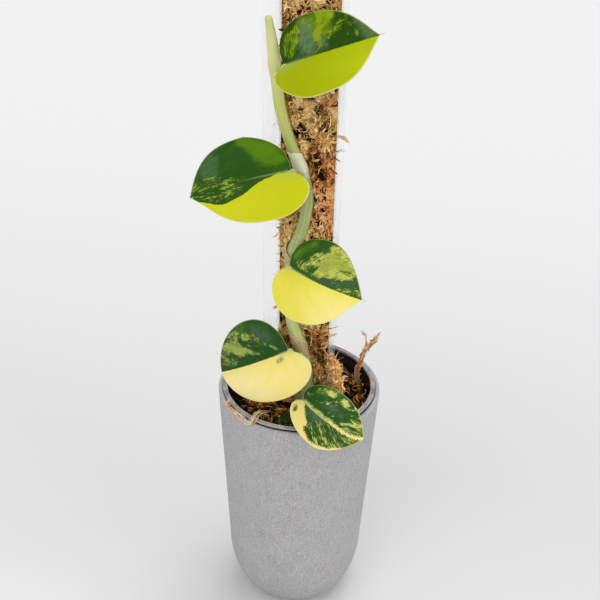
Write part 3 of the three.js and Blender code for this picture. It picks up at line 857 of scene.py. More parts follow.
def stem_finish():
    """Smooth pale green with fine lighter lines along it, paler towards the tip and at the nodes."""
    finish = Finish("stem_green", Roughness=0.36, Specular_IOR_Level=0.5)
    along, _, node = finish.parts(finish.field("run"))
    lines = finish.clouds(finish.field("run", (0.12, 0.3, 1)), 1.0, 3, 0.6)
    green = finish.ramp(along, [
        (0.0, (122, 140, 74)), (0.3, (178, 186, 114)), (0.5, (160, 170, 104)),
        (0.62, (150, 162, 88)), (0.82, (178, 184, 88)), (0.92, (212, 212, 136)), (1.0, (190, 198, 130))])
    streaked = finish.blend(finish.grade(lines, 0.42, 0.68, 0.0, 0.45), green, (214, 218, 160))
    finish.colour(finish.blend(finish.math("MULTIPLY", node, 0.25), streaked, (190, 196, 148)))
    finish.relief(lines, 0.2, 0.3)
    return finish.material


def sheath_finish(name, body, margin):
    """A papery sheath: green like the stem low down, its own colour above, a paler margin."""
    finish = Finish(name, Roughness=0.6, Specular_IOR_Level=0.25)
    up, _, _ = finish.parts(finish.field("run"))
    fibres = finish.clouds(finish.field("run", (0.8, 0.06, 1)), 1.0, 3, 0.6)
    tone = finish.blend(finish.grade(fibres, 0.38, 0.7, 0.0, 0.5), body, margin)
    tone = finish.blend(finish.grade(up, 0.0, 0.5, 0.8, 0.0), tone, (158, 168, 104))
    finish.colour(finish.blend(finish.grade(up, 0.84, 1.0, 0.0, 0.8), tone, margin))
    finish.relief(fibres, 0.2, 0.4)
    return finish.material


# Leaves

def from_line(x, y, starts, ends):
    """Distance from each point to the nearest of the straight runs between starts and ends."""
    nearest = np.full(x.shape, np.inf)
    for (ax, ay), (bx, by) in zip(starts, ends):
        run = (bx - ax) ** 2 + (by - ay) ** 2 + 1e-9
        part = np.clip(((x - ax) * (bx - ax) + (y - ay) * (by - ay)) / run, 0, 1)
        nearest = np.minimum(nearest, np.hypot(x - ax - part * (bx - ax), y - ay - part * (by - ay)))
    return nearest


def area(*outline):
    """A patch inside a rounded outline, as how far inside it a point lies (mm).

    The outline's corners are joined by cubics that pass through them, and a point is inside
    where a line out of it crosses the outline an odd number of times.
    """

    def depth(x, y):
        """Distance to the outline, more than nought inside it and less outside."""
        corners = np.array(outline, float)
        before, after, beyond = (np.roll(corners, shift, axis=0) for shift in (1, -1, -2))
        t = np.array([0.0, 0.25, 0.5, 0.75])[None, :, None]
        p0, p1, p2, p3 = (value[:, None] for value in (before, corners, after, beyond))
        smooth = 0.5 * (2 * p1 + (p2 - p0) * t + (2 * p0 - 5 * p1 + 4 * p2 - p3) * t**2
                        + (3 * p1 - p0 - 3 * p2 + p3) * t**3)
        smooth = smooth.reshape(-1, 2)
        following = np.roll(smooth, -1, axis=0)
        nearest = from_line(x, y, smooth, following)
        within = np.zeros(x.shape, bool)
        for (ax, ay), (bx, by) in zip(smooth, following):
            crosses = (ay > y) != (by > y)
            within ^= crosses & (x < ax + (bx - ax) * (y - ay) / (by - ay + 1e-12))
        return np.where(within, nearest, -nearest)

    return depth


def stroke(width, *line):
    """A stripe of that width along a line of points, as how far inside it a point lies (mm)."""

    def depth(x, y):
        """Half the width less the distance to the line."""
        points = curve([(px, py, 0) for px, py in line], 24)[:, :2]
        return width / 2 - from_line(x, y, points[:-1], points[1:])

    return depth


# Each leaf has its base, its tip, the way its face looks (turned and raised, in degrees), how its
# blade bends, the height of its node on the stem and the two curves of each half's outline.
# half_green says whether one half is green and the other yellow. Then come its colours, how far
# the midrib stays pale, and how far the streaks push the edge of the green (ragged, mm). The
# marks are in millimetres along the midrib and out across the upper half: green and pale patches,
# light sectors, flecks with their density, spots that are green on the yellow and olive on a
# light sector, where the green is greyed by a painted sheen (a painted reflection), and where it
# is brighter. lengthwise says that the streaks run along the midrib, and not out along the side
# veins as on the other leaves.
LEAVES = {
    "leaf_1": dict(
        base=(-15.1, -28, 481.1), tip=(42.9, -41, 505.6), turn=8, rise=36, bow=4, fold=0.22,
        droop=7, sweep=1, node=472, half_green=True,
        upper=[(-4.8, 9.7), (17.3, 27.2), 17.2, 30.4, (56.3, 8.2)],
        lower=[(-22.1, 6.4), (17, 25.8), 15.4, 22, (48.8, 24.4)],
        dark=(34, 68, 4), bright=(90, 126, 8), light=(142, 156, 16), rib=26,
        fleck=(118, 146, 16), grey=(98, 122, 82), deep=(156, 170, 0),
        pale=((160, 172, 0), (178, 190, 4)), midrib=(150, 172, 120), margin=(160, 182, 110), ragged=2.6,
        marks=dict(
            light=[area((26, 27), (33, 25), (39, 21), (35, 17), (30, 12), (25, 6), (23.5, 10), (27, 19)),
                   stroke(1.2, (23.5, 1), (27, 4), (28, 8)), stroke(1.0, (51, 5), (51.2, 3.4))],
            flecks=[(0.66, area((2, 14), (6, 19), (13, 22), (15, 17), (13, 9), (10, 4), (4, 1.5), (1, 5))),
                    (0.5, area((40, 18), (46, 18), (48, 12), (44, 8), (40, 10))),
                    (0.5, area((17, 26), (26, 27), (28, 19), (24, 15), (18, 18))),
                    (0.42, area((24, 10), (33, 12), (50, 14), (50, 6), (30, 1), (24, 2)))],
            sheen=[(1.0, area((14, 22), (21, 22), (24, 15), (25, 8), (23, 0), (15, 1), (12, 8))),
                   (0.8, area((26, 9), (31, 8), (31, 2), (25, 2))),
                   (0.35, area((8, 2), (16, 3), (30, 2.5), (30, 0), (8, 0))),
                   (0.9, area((51, 14), (57, 10), (63, 1), (56, -1), (54, 6)))],
            bright=[(0.9, area((16, 25), (36, 25), (36, 12), (24, 6), (18, 16))),
                    (0.6, area((3, 14), (10, 18), (13, 10), (5, 3)))])),
    "leaf_2": dict(
        base=(-10.2, -29, 408.5), tip=(-80.4, -18, 381.1), turn=-10, rise=24, bow=5, fold=0.22,
        droop=6, sweep=-1.8, node=401, half_green=True,
        upper=[(-5.9, 22.3), (27.4, 30.4), 2.7, 28.4, (62.8, 20.5)],
        lower=[(-23.3, 13.3), (16.3, 29.3), 17.4, 38.2, (57.2, 12.3)],
        dark=(40, 78, 18), bright=(80, 122, 4), light=(156, 178, 62), rib=44,
        fleck=(108, 144, 46), grey=(84, 116, 76), deep=(188, 192, 12),
        pale=((196, 198, 22), (208, 206, 36)), midrib=(140, 164, 104), margin=(146, 174, 92), ragged=2.6,
        lengthwise=True,
        marks=dict(
            green=[area((5, 4), (12, 0), (20, -1.5), (27, -4), (35, -7.5), (42, -9), (52, -10.5),
                        (62, -7), (74, -1.5), (60, 4), (30, 5))],
            light=[stroke(0.5, (2, 0.4), (10, 1.1), (19, 1.1), (28, 1.1), (38, 1))],
            flecks=[(0.42, area((69, 8), (52, 9.5), (35, 3), (34, -3), (43, -7), (52, -9), (64, -5),
                                (74, 1))),
                    (1.0, stroke(1.1, (72, 4), (62, 6.5), (52, 7))),
                    (0.9, stroke(0.9, (71, 2), (58, 3.6), (40, 3))),
                    (0.9, stroke(0.8, (68, -1), (56, 0.5), (42, 0))),
                    (0.9, stroke(1.0, (66, -4), (56, -3.5), (49, -5))),
                    (1.0, stroke(1.0, (56, -8), (50, -7), (45, -5))),
                    (1.0, stroke(1.3, (43, -5.5), (39, -3.5), (34, -2))),
                    (0.8, area((68, 9), (67, 6), (74, 0), (75, 3)))],
            sheen=[(0.65, area((63, 17), (56, 24), (47, 22), (51, 7), (60, 8))),
                   (0.4, stroke(5, (68, 10), (58, 25), (44, 30)))],
            bright=[(1.0, area((32, 30), (21, 28), (6, 18), (1, 8), (15, 8), (23, 17)))])),
    "leaf_3": dict(
        base=(-9.1, -29, 334.3), tip=(42.3, -50, 321.4), turn=0, rise=32, bow=6, fold=0.22,
        droop=7, sweep=2.2, node=331, half_green=True,
        upper=[(-8.1, 18.1), (21.4, 28.8), 14.5, 14.5, (49.6, 12.3)],
        lower=[(-16.5, 8.6), (17.1, 33.7), 21.2, 27.6, (48.5, 13.5)],
        dark=(44, 84, 26), bright=(88, 130, 32), light=(198, 198, 94), rib=24,
        fleck=(150, 162, 66), grey=(70, 94, 72), deep=(214, 208, 52),
        pale=((228, 218, 80), (243, 226, 146)), midrib=(156, 176, 110), margin=(160, 178, 100), ragged=2.6,
        marks=dict(
            light=[area((18, 0.5), (20, 7), (20, 17), (24, 21), (22, 24.5), (26, 27), (33, 25), (40, 20),
                        (46, 15), (36, 11), (45, 10), (31, 4))],
            flecks=[(0.78, area((3, 4.5), (9, 10.5), (15, 17.5), (20, 17), (20, 7), (15, 1.5), (8, 1))),
                    (0.65, area((36, -2), (49, 6.5), (55, 1.5), (47, -2))),
                    (0.35, area((21, 1), (45, 10), (48, 8), (41, 0))),
                    (0.6, stroke(3.5, (24, 4), (34, 10), (44, 12.5), (47, 14)))],
            green=[stroke(0.9, (33.3, 9.6), (39.3, 12.8), (46.7, 13.6)),
                   stroke(0.6, (20, 14), (27, 19), (33, 19))],
            spots=[(0.85, area((18, 10), (22, 17.5), (29, 21), (40, 17.5), (44, 14.5), (32, 11.5),
                               (25, 5.5)))],
            sheen=[(0.9, area((19.7, -0.6), (28, 1.2), (38, 4.8), (48, 9.6), (48, 3.8), (37, -0.6),
                              (27, -1.8)))],
            bright=[(0.8, stroke(4, (1, 10), (4, 16), (9, 22)))])),
    "leaf_4": dict(
        base=(-9.2, -28, 261.3), tip=(-61.7, -11, 227.8), turn=-5, rise=30, bow=9, fold=0.22,
        droop=7, sweep=0.8, node=252, half_green=True,
        upper=[(-1.8, 17.2), (26.1, 31.9), 16.5, 20.7, (58, 12.1)],
        lower=[(-26.5, 12.8), (17.1, 34.3), 23.2, 36.1, (66.7, 1.6)],
        dark=(38, 74, 31), bright=(76, 114, 44), light=(160, 170, 86), rib=12,
        fleck=(126, 146, 70), grey=(80, 106, 76), deep=(228, 212, 98),
        pale=((238, 220, 136), (245, 230, 172)), midrib=(156, 174, 120), margin=(150, 170, 104), ragged=2.6,
        marks=dict(
            light=[area((54, 16), (50, 20), (37, 19), (28, 11), (20, 4), (31, 8), (36, 7), (42, 11)),
                   area((30, 23), (25, 23), (24, 18), (28, 17), (31, 19)),
                   stroke(1.1, (10, 7.5), (6.5, 4))],
            flecks=[(0.66, area((46, 24), (37, 28), (30, 22), (33, 17), (44, 21))),
                    (0.5, area((28, 23), (21, 21), (16, 13), (21, 9), (28, 15))),
                    (0.62, area((57, 14), (42, 12), (31, 6), (43, 1.5), (59, 3))),
                    (0.25, area((14, 12), (26, 26), (20, 6), (8, 4)))],
            spots=[(0.9, stroke(3.4, (6, -4.6), (8, -5.4)))],
            sheen=[(0.55, area((22, 28), (10, 20), (8, 9), (19, 15)))],
            bright=[(0.5, area((42, 27), (30, 32), (24, 27), (32, 22)))])),
    "leaf_5": dict(
        base=(4.3, -42, 225.2), tip=(48.7, -72, 214), turn=8, rise=55, bow=5, fold=0.2,
        droop=5, sweep=5.5, node=214, half_green=False,
        upper=[(-7.6, 4.9), (16.8, 19.8), 23.6, 24.1, (49.7, 7.3)],
        lower=[(-18.5, 2.9), (28.4, 27.8), 25.6, 8.7, (50, 18.3)],
        dark=(40, 78, 30), bright=(70, 110, 40), light=(202, 202, 110), rib=90,
        fleck=(166, 178, 82), grey=(88, 110, 90), deep=(228, 209, 112),
        pale=((232, 213, 130), (232, 213, 130)), midrib=(214, 214, 150), margin=(186, 194, 112), ragged=10,
        marks=dict(
            pale=[area((-0.5, 0), (5, -6), (11, -12), (14.5, -16), (14, -20), (22, -25), (27, -29), (16, -28),
                       (0, -20), (-7, -12), (-6, -3)),
                  stroke(2.6, (22, -27), (31, -27), (39, -24), (46, -18)),
                  stroke(2.3, (28, -4.6), (35, -5.6), (42, -5.6), (49, -3.8), (54, -0.5))],
            light=[stroke(2.2, (1, 0), (10, -2.3), (20, -3.6), (28, -4.4)),
                   stroke(1.5, (35.5, -1.4), (41, 1.8), (47, 3.3), (51, 3)),
                   stroke(1.3, (39, -2.6), (44, -1.2), (51, 2)),
                   area((11, 15), (14, 18), (17.5, 18), (19, 14), (15.5, 12)),
                   area((26, 13), (27.5, 16.5), (32, 15), (31, 11)),
                   stroke(1.6, (37, 16), (41, 14), (46, 10))],
            spots=[(1.3, stroke(3.6, (-2.8, -8), (-1.4, -10))),
                   (1.3, stroke(1.6, (4, -4), (7.5, -8), (12.5, -13)))],
            flecks=[(0.46, area((15, -15), (20, -8), (29, -7), (41, -9), (50, -5), (46, -15), (32, -27),
                                (17, -25))),
                    (0.56, stroke(5, (20, -23), (32, -24), (42, -18), (50, -6))),
                    (0.55, area((2, 12), (10, 18), (20, 19), (14, 12), (6, 9))),
                    (0.6, area((23, 14), (32, 18), (40, 15), (33, 9))),
                    (0.5, stroke(3, (0, 6), (1, 7))),
                    (0.3, area((5, 10), (24, 12), (34, 4), (30, -1), (12, 1))),
                    (0.58, area((36, 10), (45, 12), (52, 5), (42, 3)))],
            sheen=[(0.75, area((7, -3.5), (26, -5.5), (17, -12))), (0.4, area((14, 2), (32, 3), (22, 10)))],
            bright=[(0.6, area((2, 12), (12, 19), (22, 18), (10, 8)))])),
    "basal_leaf": dict(
        base=(2, -30, 202.5), tip=(-18.5, -39.5, 200.5), turn=-10, rise=62, bow=2, fold=0.25,
        droop=4, sweep=0, node=206, half_green=False,
        upper=[(-2, 3), (9, 4.4), 6, 9, (19, 2.6)],
        lower=[(-2, 3), (9, 4.4), 6, 9, (19, 2.6)],
        dark=(26, 50, 10), bright=(50, 84, 24), light=(90, 120, 50), rib=24,
        fleck=(40, 66, 20), grey=(70, 96, 60), deep=(110, 140, 60),
        pale=((120, 150, 60), (120, 150, 60)), midrib=(60, 92, 40), margin=(42, 70, 22), ragged=2.6,
        marks={}),
}


def leaf_axes(leaf):
    """The leaf's base and length, and its own directions: along, across the upper half and up.

    Up is the way that the face looks, made square to the midrib. mirrored tells whether across
    had to be turned round to point at the upper half.
    """
    base = np.array(leaf["base"], float)
    along = np.array(leaf["tip"]) - base
    length = np.linalg.norm(along)
    along = along / length
    turn, rise = np.radians(leaf["turn"]), np.radians(leaf["rise"])
    up = np.array([np.sin(turn) * np.cos(rise), -np.cos(turn) * np.cos(rise), np.sin(rise)])
    up = unit(up - along * (up @ along))
    across = np.cross(up, along)
    mirrored = across[2] < 0
    return base, length, along, -across if mirrored else across, up, mirrored


def half_outline(half, length, s):
    """A half's edge: a cubic from the base round the lobe to the widest point, and one to the tip."""
    lobe, widest, before, after, point = half
    wide = np.array(widest, float)

    def cubic(a, b, c, d, t):
        """The cubic from a to d that leaves towards b and arrives from c."""
        t = t[:, None]
        return (1 - t) ** 3 * a + 3 * t * (1 - t) ** 2 * b + 3 * t**2 * (1 - t) * c + t**3 * d

    start = cubic(np.zeros(2), np.array(lobe), wide - [before, 0], wide, np.clip(s * 2, 0, 1))
    end = cubic(wide, wide + [after, 0], np.array(point), np.array([length, 0]), np.clip(s * 2 - 1, 0, 1))
    return np.where((s < 0.5)[:, None], start, end)


def midrib_sweep(leaf, length, x):
    """The midrib's sideways bow at a distance along it."""
    part = np.clip(x / length, 0, 1)
    return -leaf["sweep"] * 4 * part * (1 - part)


def face_height(leaf, length, x, off_midrib):
    """Height of the face: a bow along the midrib, halves that rise from it, edges that droop.

    The bow is a parabola along the midrib, the fold nearly a straight V with a rounded foot, and
    the droop grows with the square of the distance from the midrib.
    """
    part = x / length
    bow = 4 * leaf["bow"] * part * (1 - part) * np.where(part < 0, 0.5, 1)
    fold = leaf["fold"] * (np.sqrt(off_midrib**2 + 1) - 1)
    return bow + fold - leaf["droop"] * (off_midrib / 25) ** 2


def blade_surface(leaf):
    """A leaf blade: lines fan from the midrib to the edge, and carry an upper and a lower face.

    Along the midrib a line starts at length times s cubed, and it ends at the outline's
    point for s. The thickness closes to a round edge over the last 0.45 mm, the midrib is a
    groove above and a rib below, and side veins are faint ridges. The points also carry how deep
    they lie in each mark, and their place along and off the veins.
    """
    rows, half, round_edge_width = 116, 34, 0.45
    base, length, along, across, up, mirrored = leaf_axes(leaf)
    s = np.arange(1, rows) / rows
    middle = length * s**3
    out = 0.5 - 0.5 * np.cos(np.pi * np.arange(half + 1) / half)
    start = side_by_side(middle, midrib_sweep(leaf, length, middle))
    sides = []
    for sign, outline in ((-1, leaf["lower"]), (1, leaf["upper"])):
        edge = half_outline(outline, length, s) * [1, sign]
        spots = start[:, None] + (edge - start)[:, None] * out[None, :, None]
        width = np.linalg.norm(edge - start, axis=1)[:, None]
        sides.append((spots, width * (1 - out), width * out, np.full((rows - 1, half + 1), float(sign))))
    joined = [np.concatenate([low[:, :0:-1], high], axis=1) for low, high in zip(*sides)]
    spots, to_edge, from_rib, side = joined
    x, y = spots[..., 0], spots[..., 1]
    off_midrib = y - midrib_sweep(leaf, length, x)
    part = np.clip(x / length, 0, 1)
    fan = np.broadcast_to(s[:, None] * 1.25 * length, x.shape)
    thick = BLADE_THICK * np.sqrt(1 - (1 - np.clip(to_edge / round_edge_width, 0, 1)) ** 2)
    wave = 0.3 * bumps(x / 12, y / 12, length) * ease(to_edge, 0, 3)
    quilt = 0.05 * bumps(fan / 2.2, side * 3, 2) * ease(from_rib, 0.5, 4) * ease(to_edge, 0.5, 4)
    groove = 0.4 * bell(off_midrib, 0.55) * (1 - 0.8 * part) * ease(to_edge, 0.1, 1.5)
    rib = RIB_HEIGHT * bell(off_midrib, RIB_REACH / 1.3) * (1 - part) * ease(to_edge, 0.1, 1.5)
    face = face_height(leaf, length, x, off_midrib) + wave + quilt - BLADE_THICK / 2
    top = face + thick / 2 - groove
    bottom = face - thick / 2 - rib
    flat = base + x[..., None] * along + y[..., None] * across
    upper = flat + top[..., None] * up
    lower = flat + bottom[..., None] * up
    rings = np.concatenate([upper, lower[:, -2:0:-1]], axis=1)
    tip = base + length * along
    points, faces = closed_rings([base], rings, [tip])
    if not mirrored:
        faces = [group[:, ::-1] for group in faces]

    def both(values, back=None):
        """Values for the upper face, and the same or others for the lower, in the points' order."""
        wrapped = np.concatenate([values, (values if back is None else back)[:, -2:0:-1]], axis=1)
        return np.concatenate([[wrapped[0, half]], wrapped.ravel(), [wrapped[-1, half]]])

    marks = leaf["marks"]
    green = off_midrib + 0.3 if leaf["half_green"] else np.full(x.shape, 20.0)
    for patch in marks.get("pale", []):
        green = np.minimum(green, -patch(x, y))
    light = np.full(x.shape, -20.0)
    for patch in marks.get("light", []):
        light = np.maximum(light, patch(x, y))
    for patch in marks.get("green", []):
        depth = patch(x, y)
        green = np.maximum(green, depth)
        light = np.minimum(light, np.where(depth > 0, -5 * depth, light))

    def soft(kind, feather):
        """The strongest of a kind of mark at each point, with edges that fade over the feather."""
        value = np.zeros(x.shape)
        for strength, patch in marks.get(kind, []):
            value = np.maximum(value, strength * ease(patch(x, y), -feather, feather))
        return value

    streaks = (off_midrib / (1.3 - part), 0.8 * x) if "lengthwise" in leaf else (fan, from_rib)
    under = both(0 * x, 0 * x + 1)
    blush = bell(x, 8) * bell(y, 4)
    rib_paleness = ease(x, leaf["rib"], 0.3 * leaf["rib"])
    # The painted sheen, a painted reflection, goes into shades with the brighter green.
    fields = dict(
        marks=side_by_side(both(green), both(light), both(soft("flecks", 1.3))),
        shades=side_by_side(both(soft("sheen", 3)), both(soft("bright", 4)), both(part)),
        rim=side_by_side(both(to_edge), both(np.abs(off_midrib)), under),
        base=side_by_side(both(blush), both(rib_paleness), both(soft("spots", 1.0))),
        vein=side_by_side(both(streaks[0]), both(streaks[1]), both(side * 9)))
    return points, faces, fields


def stalk_surface(leaf):
    """The leaf stalk: a tube that leaves the stem's front gradually and ends under the blade.

    Its middle line starts in the stem, 9 mm below the node. Circles with a groove in their top
    are carried along it, and shrink to a round end under the blade.
    """
    base, _, along, _, up, _ = leaf_axes(leaf)
    stem = stem_line(400)

    def on_stem(height):
        """The point of the stem's middle line at that height."""
        return np.stack([np.interp(height, stem[:, 2], stem[:, axis]) for axis in range(3)])

    node = leaf["node"]
    under = base - up * 1.8 - along * 1.2
    end = base - up * 1.3 + along * 7
    peel = on_stem(node - 1) + [0, -1.4, 0]
    count, sides = 70, 24
    sagging = mix(peel, under, 0.6) + [0, 0, -4]
    line = curve([on_stem(node - 9), peel, sagging, under, end], count)
    part = np.linspace(0, 1, count)
    round_end = np.sqrt(np.clip(1 - (1 - np.clip((1 - part) / 0.15, 0, 1)) ** 2, 0.04, 1))
    radius = mix(2.5, 1.3, ease(part, 0.2, 0.8)) * round_end
    tangent = unit(np.gradient(line, axis=0))
    out = unit(np.array([0, 0, 1.0]) - tangent * tangent[:, 2:] + [0, -0.02, 0])
    side = np.cross(tangent, out)
    angle = full_turn(sides)
    groove = 1 - 0.2 * bell(angle - np.pi / 2, 0.45)
    circle = side[:, None] * np.cos(angle)[:, None] + out[:, None] * np.sin(angle)[:, None]
    rings = line[:, None] + circle * (radius[:, None, None] * groove[:, None])
    points, faces = closed_rings(line[:1], rings, line[-1:])
    place = np.interp(node, stem[:, 2], np.linspace(0, 1, len(stem)))
    paler = np.concatenate([[0], np.repeat(ease(part, 0.2, 0.9), sides), [1]])
    around = np.concatenate([[0], np.tile(angle, count), [0]])
    return points, faces, side_by_side(place, around, paler)


def leaf_finish(name, leaf):
    """Satin leaf: marbled green and pale halves with flecks that run along the side veins.

    Three noises are drawn out along the veins: fine streaks, blotches and broad clouds. They push
    the edges of the marks to and fro, and break the flecked stretches up.
    """
    finish = Finish(name, Specular_IOR_Level=0.06)
    green, light, flecks = finish.parts(finish.field("marks"))
    sheen, bright, along = finish.parts(finish.field("shades"))
    edge, midrib, under = finish.parts(finish.field("rim"))
    blush, rib, spots = finish.parts(finish.field("base"))
    streak = finish.clouds(finish.field("vein", (0.8, 3.4, 1)), 1.0, 5, 0.78)
    blotch = finish.clouds(finish.field("vein", (2.6, 5.0, 1)), 1.0, 5, 0.72)
    cloud = finish.clouds(finish.field("vein", (6, 14, 1)), 1.0, 2, 0.5)
    rays = finish.clouds(finish.field("vein", (1.8, 60, 1)), 1.0, 2, 0.5)
    grain = finish.math("MULTIPLY_ADD", blotch, 0.5, finish.math("MULTIPLY", streak, 0.5))

    # The green: dark to bright, and greyed where a painted sheen stands for the leaf's reflection
    tone = finish.math("ADD", bright, finish.math("MULTIPLY_ADD", cloud, 1.1, -0.6))
    tone = finish.math("ADD", tone, finish.math("MULTIPLY_ADD", grain, 1.7, -0.78))
    ground = finish.blend(finish.grade(tone, -0.05, 1.0), leaf["dark"], leaf["bright"])
    painted_sheen = finish.math("MULTIPLY", sheen, finish.grade(grain, 0.38, 0.58, 0.3, 1.0))
    ground = finish.blend(painted_sheen, ground, leaf["grey"])
    grain = finish.math("MULTIPLY_ADD", finish.math("SUBTRACT", cloud, 0.5), 0.3, grain)

    # Light sectors with torn edges and a mottled inside, then flecks, denser where the marks say
    torn = finish.math("MULTIPLY_ADD", grain, 8.0, finish.math("SUBTRACT", light, 4.0))
    lit = finish.grade(torn, -1.1, 1.2)
    mottled = finish.ramp(grain, [
        (0.39, leaf["bright"]), (0.47, leaf["fleck"]), (0.54, leaf["light"]), (0.62, leaf["fleck"])])
    mottled = finish.blend(finish.math("MULTIPLY", spots, 0.8), mottled, leaf["fleck"])
    ground = finish.blend(lit, ground, mottled)
    level = finish.math("MULTIPLY_ADD", flecks, -0.19, 0.635)
    spotted = finish.grade(finish.math("SUBTRACT", grain, level), -0.045, 0.07)
    spotted = finish.math("MULTIPLY", spotted, finish.grade(flecks, 0.02, 0.25))
    speck = finish.blend(finish.grade(streak, 0.4, 0.62), leaf["fleck"], leaf["light"])
    ground = finish.blend(spotted, ground, speck)

    # The yellow: it pales towards the tip, and is deeper in rays, in clouds and by the midrib
    yellow = finish.blend(finish.grade(along, 0.05, 0.95), *leaf["pale"])
    yellow = finish.blend(finish.grade(rays, 0.4, 0.7, 0.0, 0.14), yellow, leaf["deep"])
    yellow = finish.blend(finish.grade(cloud, 0.4, 0.75, 0.0, 0.22), yellow, leaf["deep"])
    yellow = finish.blend(finish.grade(midrib, 0, 16, 0.5, 0.0), yellow, leaf["deep"])
    yellow = finish.blend(finish.math("MULTIPLY", blush, 0.4), yellow, LEAF_BASE_BLUSH)
    spot = finish.math("MULTIPLY", spots, finish.grade(grain, 0.42, 0.52, 0.15, 0.85))
    yellow = finish.blend(spot, yellow, leaf["bright"])
    # The ragged line between green and yellow, the midrib, the pale margin and the leaf's back
    divide = finish.math("MULTIPLY_ADD", finish.math("SUBTRACT", streak, 0.5), leaf["ragged"], green)
    colour = finish.blend(finish.grade(divide, -0.3, 0.3), yellow, ground)
    line = finish.math("MULTIPLY", rib, finish.grade(midrib, 0.1, 1.1, 0.5, 0.0))
    colour = finish.blend(line, colour, leaf["midrib"])
    margin = finish.blend(finish.grade(green, -0.5, 0.5), YELLOW_MARGIN, leaf["margin"])
    colour = finish.blend(finish.grade(edge, 0.2, 0.95, 0.75, 0.0), colour, margin)
    back = finish.blend(0.4, colour, LEAF_BACK)
    finish.colour(finish.blend(under, colour, back))
    finish.rough(finish.grade(under, 0.0, 1.0, 0.42, 0.6))
    finish.relief(finish.math("MULTIPLY_ADD", rays, 0.6, grain), 0.16, 0.6)
    return finish.material


# Building the plant

dry_moss = litter_finish(
    "dry_moss", (0, 0.25, 0.5, 0.75, 1),
    [(56, 31, 10), (158, 104, 44), (220, 164, 88), (244, 202, 124), (254, 236, 184)],
    [(60, 24, 9), (156, 78, 34), (216, 132, 70), (240, 178, 108), (250, 216, 164)])
green_moss = litter_finish(
    "green_moss", (0, 0.35, 0.6, 1),
    [(72, 58, 22), (156, 140, 66), (204, 192, 116), (234, 226, 170)],
    [(80, 52, 24), (168, 128, 70), (212, 176, 112), (238, 216, 170)])
root_moss = litter_finish(
    "root_moss", (0, 0.35, 0.65, 1),
    [(24, 13, 5), (88, 52, 18), (168, 110, 46), (222, 170, 96)],
    [(34, 20, 12), (120, 80, 48), (186, 138, 92), (228, 190, 144)])
dried_tuft = litter_finish(
    "dried_tuft", (0, 0.4, 0.8, 1),
    [(120, 74, 40), (204, 150, 100), (236, 196, 144), (248, 226, 188)],
    [(120, 70, 40), (196, 136, 90), (228, 176, 126), (244, 210, 166)])


def settle(pick, roots, outward, reach, turn, lift, steps=5):
    """Curled paths that start at the roots and lie along the surface, with a way of looking out.

    lift is how far their headings rise from the surface, from flat (0) to upright (large).
    """
    count = len(roots)
    heading = unit(any_square(pick, outward) + outward * pick.uniform(*lift, (count, 1)))
    bend = unit(outward * pick.uniform(-1.1, 0.6, (count, 1)) + any_square(pick, heading) * 0.8)
    bend = unit(bend - heading * np.sum(bend * heading, axis=1, keepdims=True))
    return arcs(pick, roots, heading, bend, pick.uniform(*reach, count), pick.uniform(*turn, count), steps)


def flakes(pick, paths, outward, width, tint, red):
    """Shreds along the paths: a flattened rod each, widest before its middle, with ragged widths.

    Their points also carry a tint, how near they are to the tip, and a redness.
    """
    count, steps = paths.shape[:2]
    taper = np.sqrt(np.clip(1 - np.linspace(-0.8, 1, steps) ** 2, 0.04, 1))
    wide = pick.uniform(*width, (count, 1)) * taper * pick.uniform(0.7, 1.3, (count, steps))
    thick = wide * pick.uniform(0.25, 0.6, (count, 1))
    flat = unit(outward + pick.normal(0, 0.5, outward.shape))
    points, faces = rods(paths, wide, thick, flat)
    tint = np.clip(tint[:, None] + pick.uniform(-0.2, 0.2, (count, steps)), 0, 1)
    tint = np.repeat(tint.ravel(), 4)
    tip = np.tile(np.repeat(np.linspace(0, 1, steps) ** 2, 4), count) * tint
    return points, faces, side_by_side(tint, tip, np.repeat(red, steps * 4))


def moss_on_pole(count, reach, width, seed, where=None, steps=6, lift=0.8):
    """Bits of moss that lie matted on the crown, some with their ends curling off it.

    They keep off the clear lips, the stem and the gaps. Neighbours have much the same tint.
    """
    spread, inside_channel, outermost, stem_room = 18.8, 19.2, 26, 4.9
    pick = np.random.default_rng(seed)
    x = pick.uniform(-spread, spread, count)
    z = pick.uniform(SOIL_LEVEL + 2 - POLE_FOOT, MOSS_LENGTH - 2, count)
    if where:
        chosen = pick.uniform(0, 1, count) < 0.12 + stretches(where, x, z)
        x, z = x[chosen], z[chosen]
    across = np.sqrt(1 - (x / MOSS_RADIUS) ** 2)
    roots = side_by_side(x, -moss_front(x, z) + 0.3, z)
    outward = unit(side_by_side(x / MOSS_RADIUS * 0.8, -across - 0.25, 0))
    paths = settle(pick, roots, outward, reach, (0.4, 3.0), (-0.1, lift), steps)
    off_side = np.abs(paths[..., 0])
    above_lip = paths[..., 1] < -CHANNEL_STRAIGHT - 1 - (off_side - CHANNEL_MIDDLE) * 0.7
    clear = np.all(((off_side < inside_channel) | above_lip) & (off_side < outermost), axis=1)
    world = to_pole(paths)
    gap = np.linalg.norm(world[:, :, None] - stem_line(160)[None, None], axis=-1).min(axis=(1, 2))
    clear &= (gap > stem_room) & (moss_gaps(x, z) < 0.3)
    pale, red = stretches(PALE_MOSS, x, z), stretches(RED_MOSS, x, z)
    # Painted light and shade: flakes on the moss's swellings are paler, those in its hollows darker; the rest
    # of the tint is random tone and the pale stretches.
    clump = 0.45 + 0.36 * bumps(x / 3.2, z / 3.8, 23) + 0.28 * moss_swell(x, z)
    tint = np.clip(clump + pick.uniform(-0.45, 0.45, len(x)) + 0.25 * pale, 0, 1)
    red = np.clip(red + 0.22 + 0.6 * bumps(x / 5, z / 7, 22), 0, 1)
    turned_out = to_pole(outward) - to_pole(np.zeros((1, 3)))
    return flakes(pick, world[clear], turned_out[clear], width, tint[clear], red[clear])


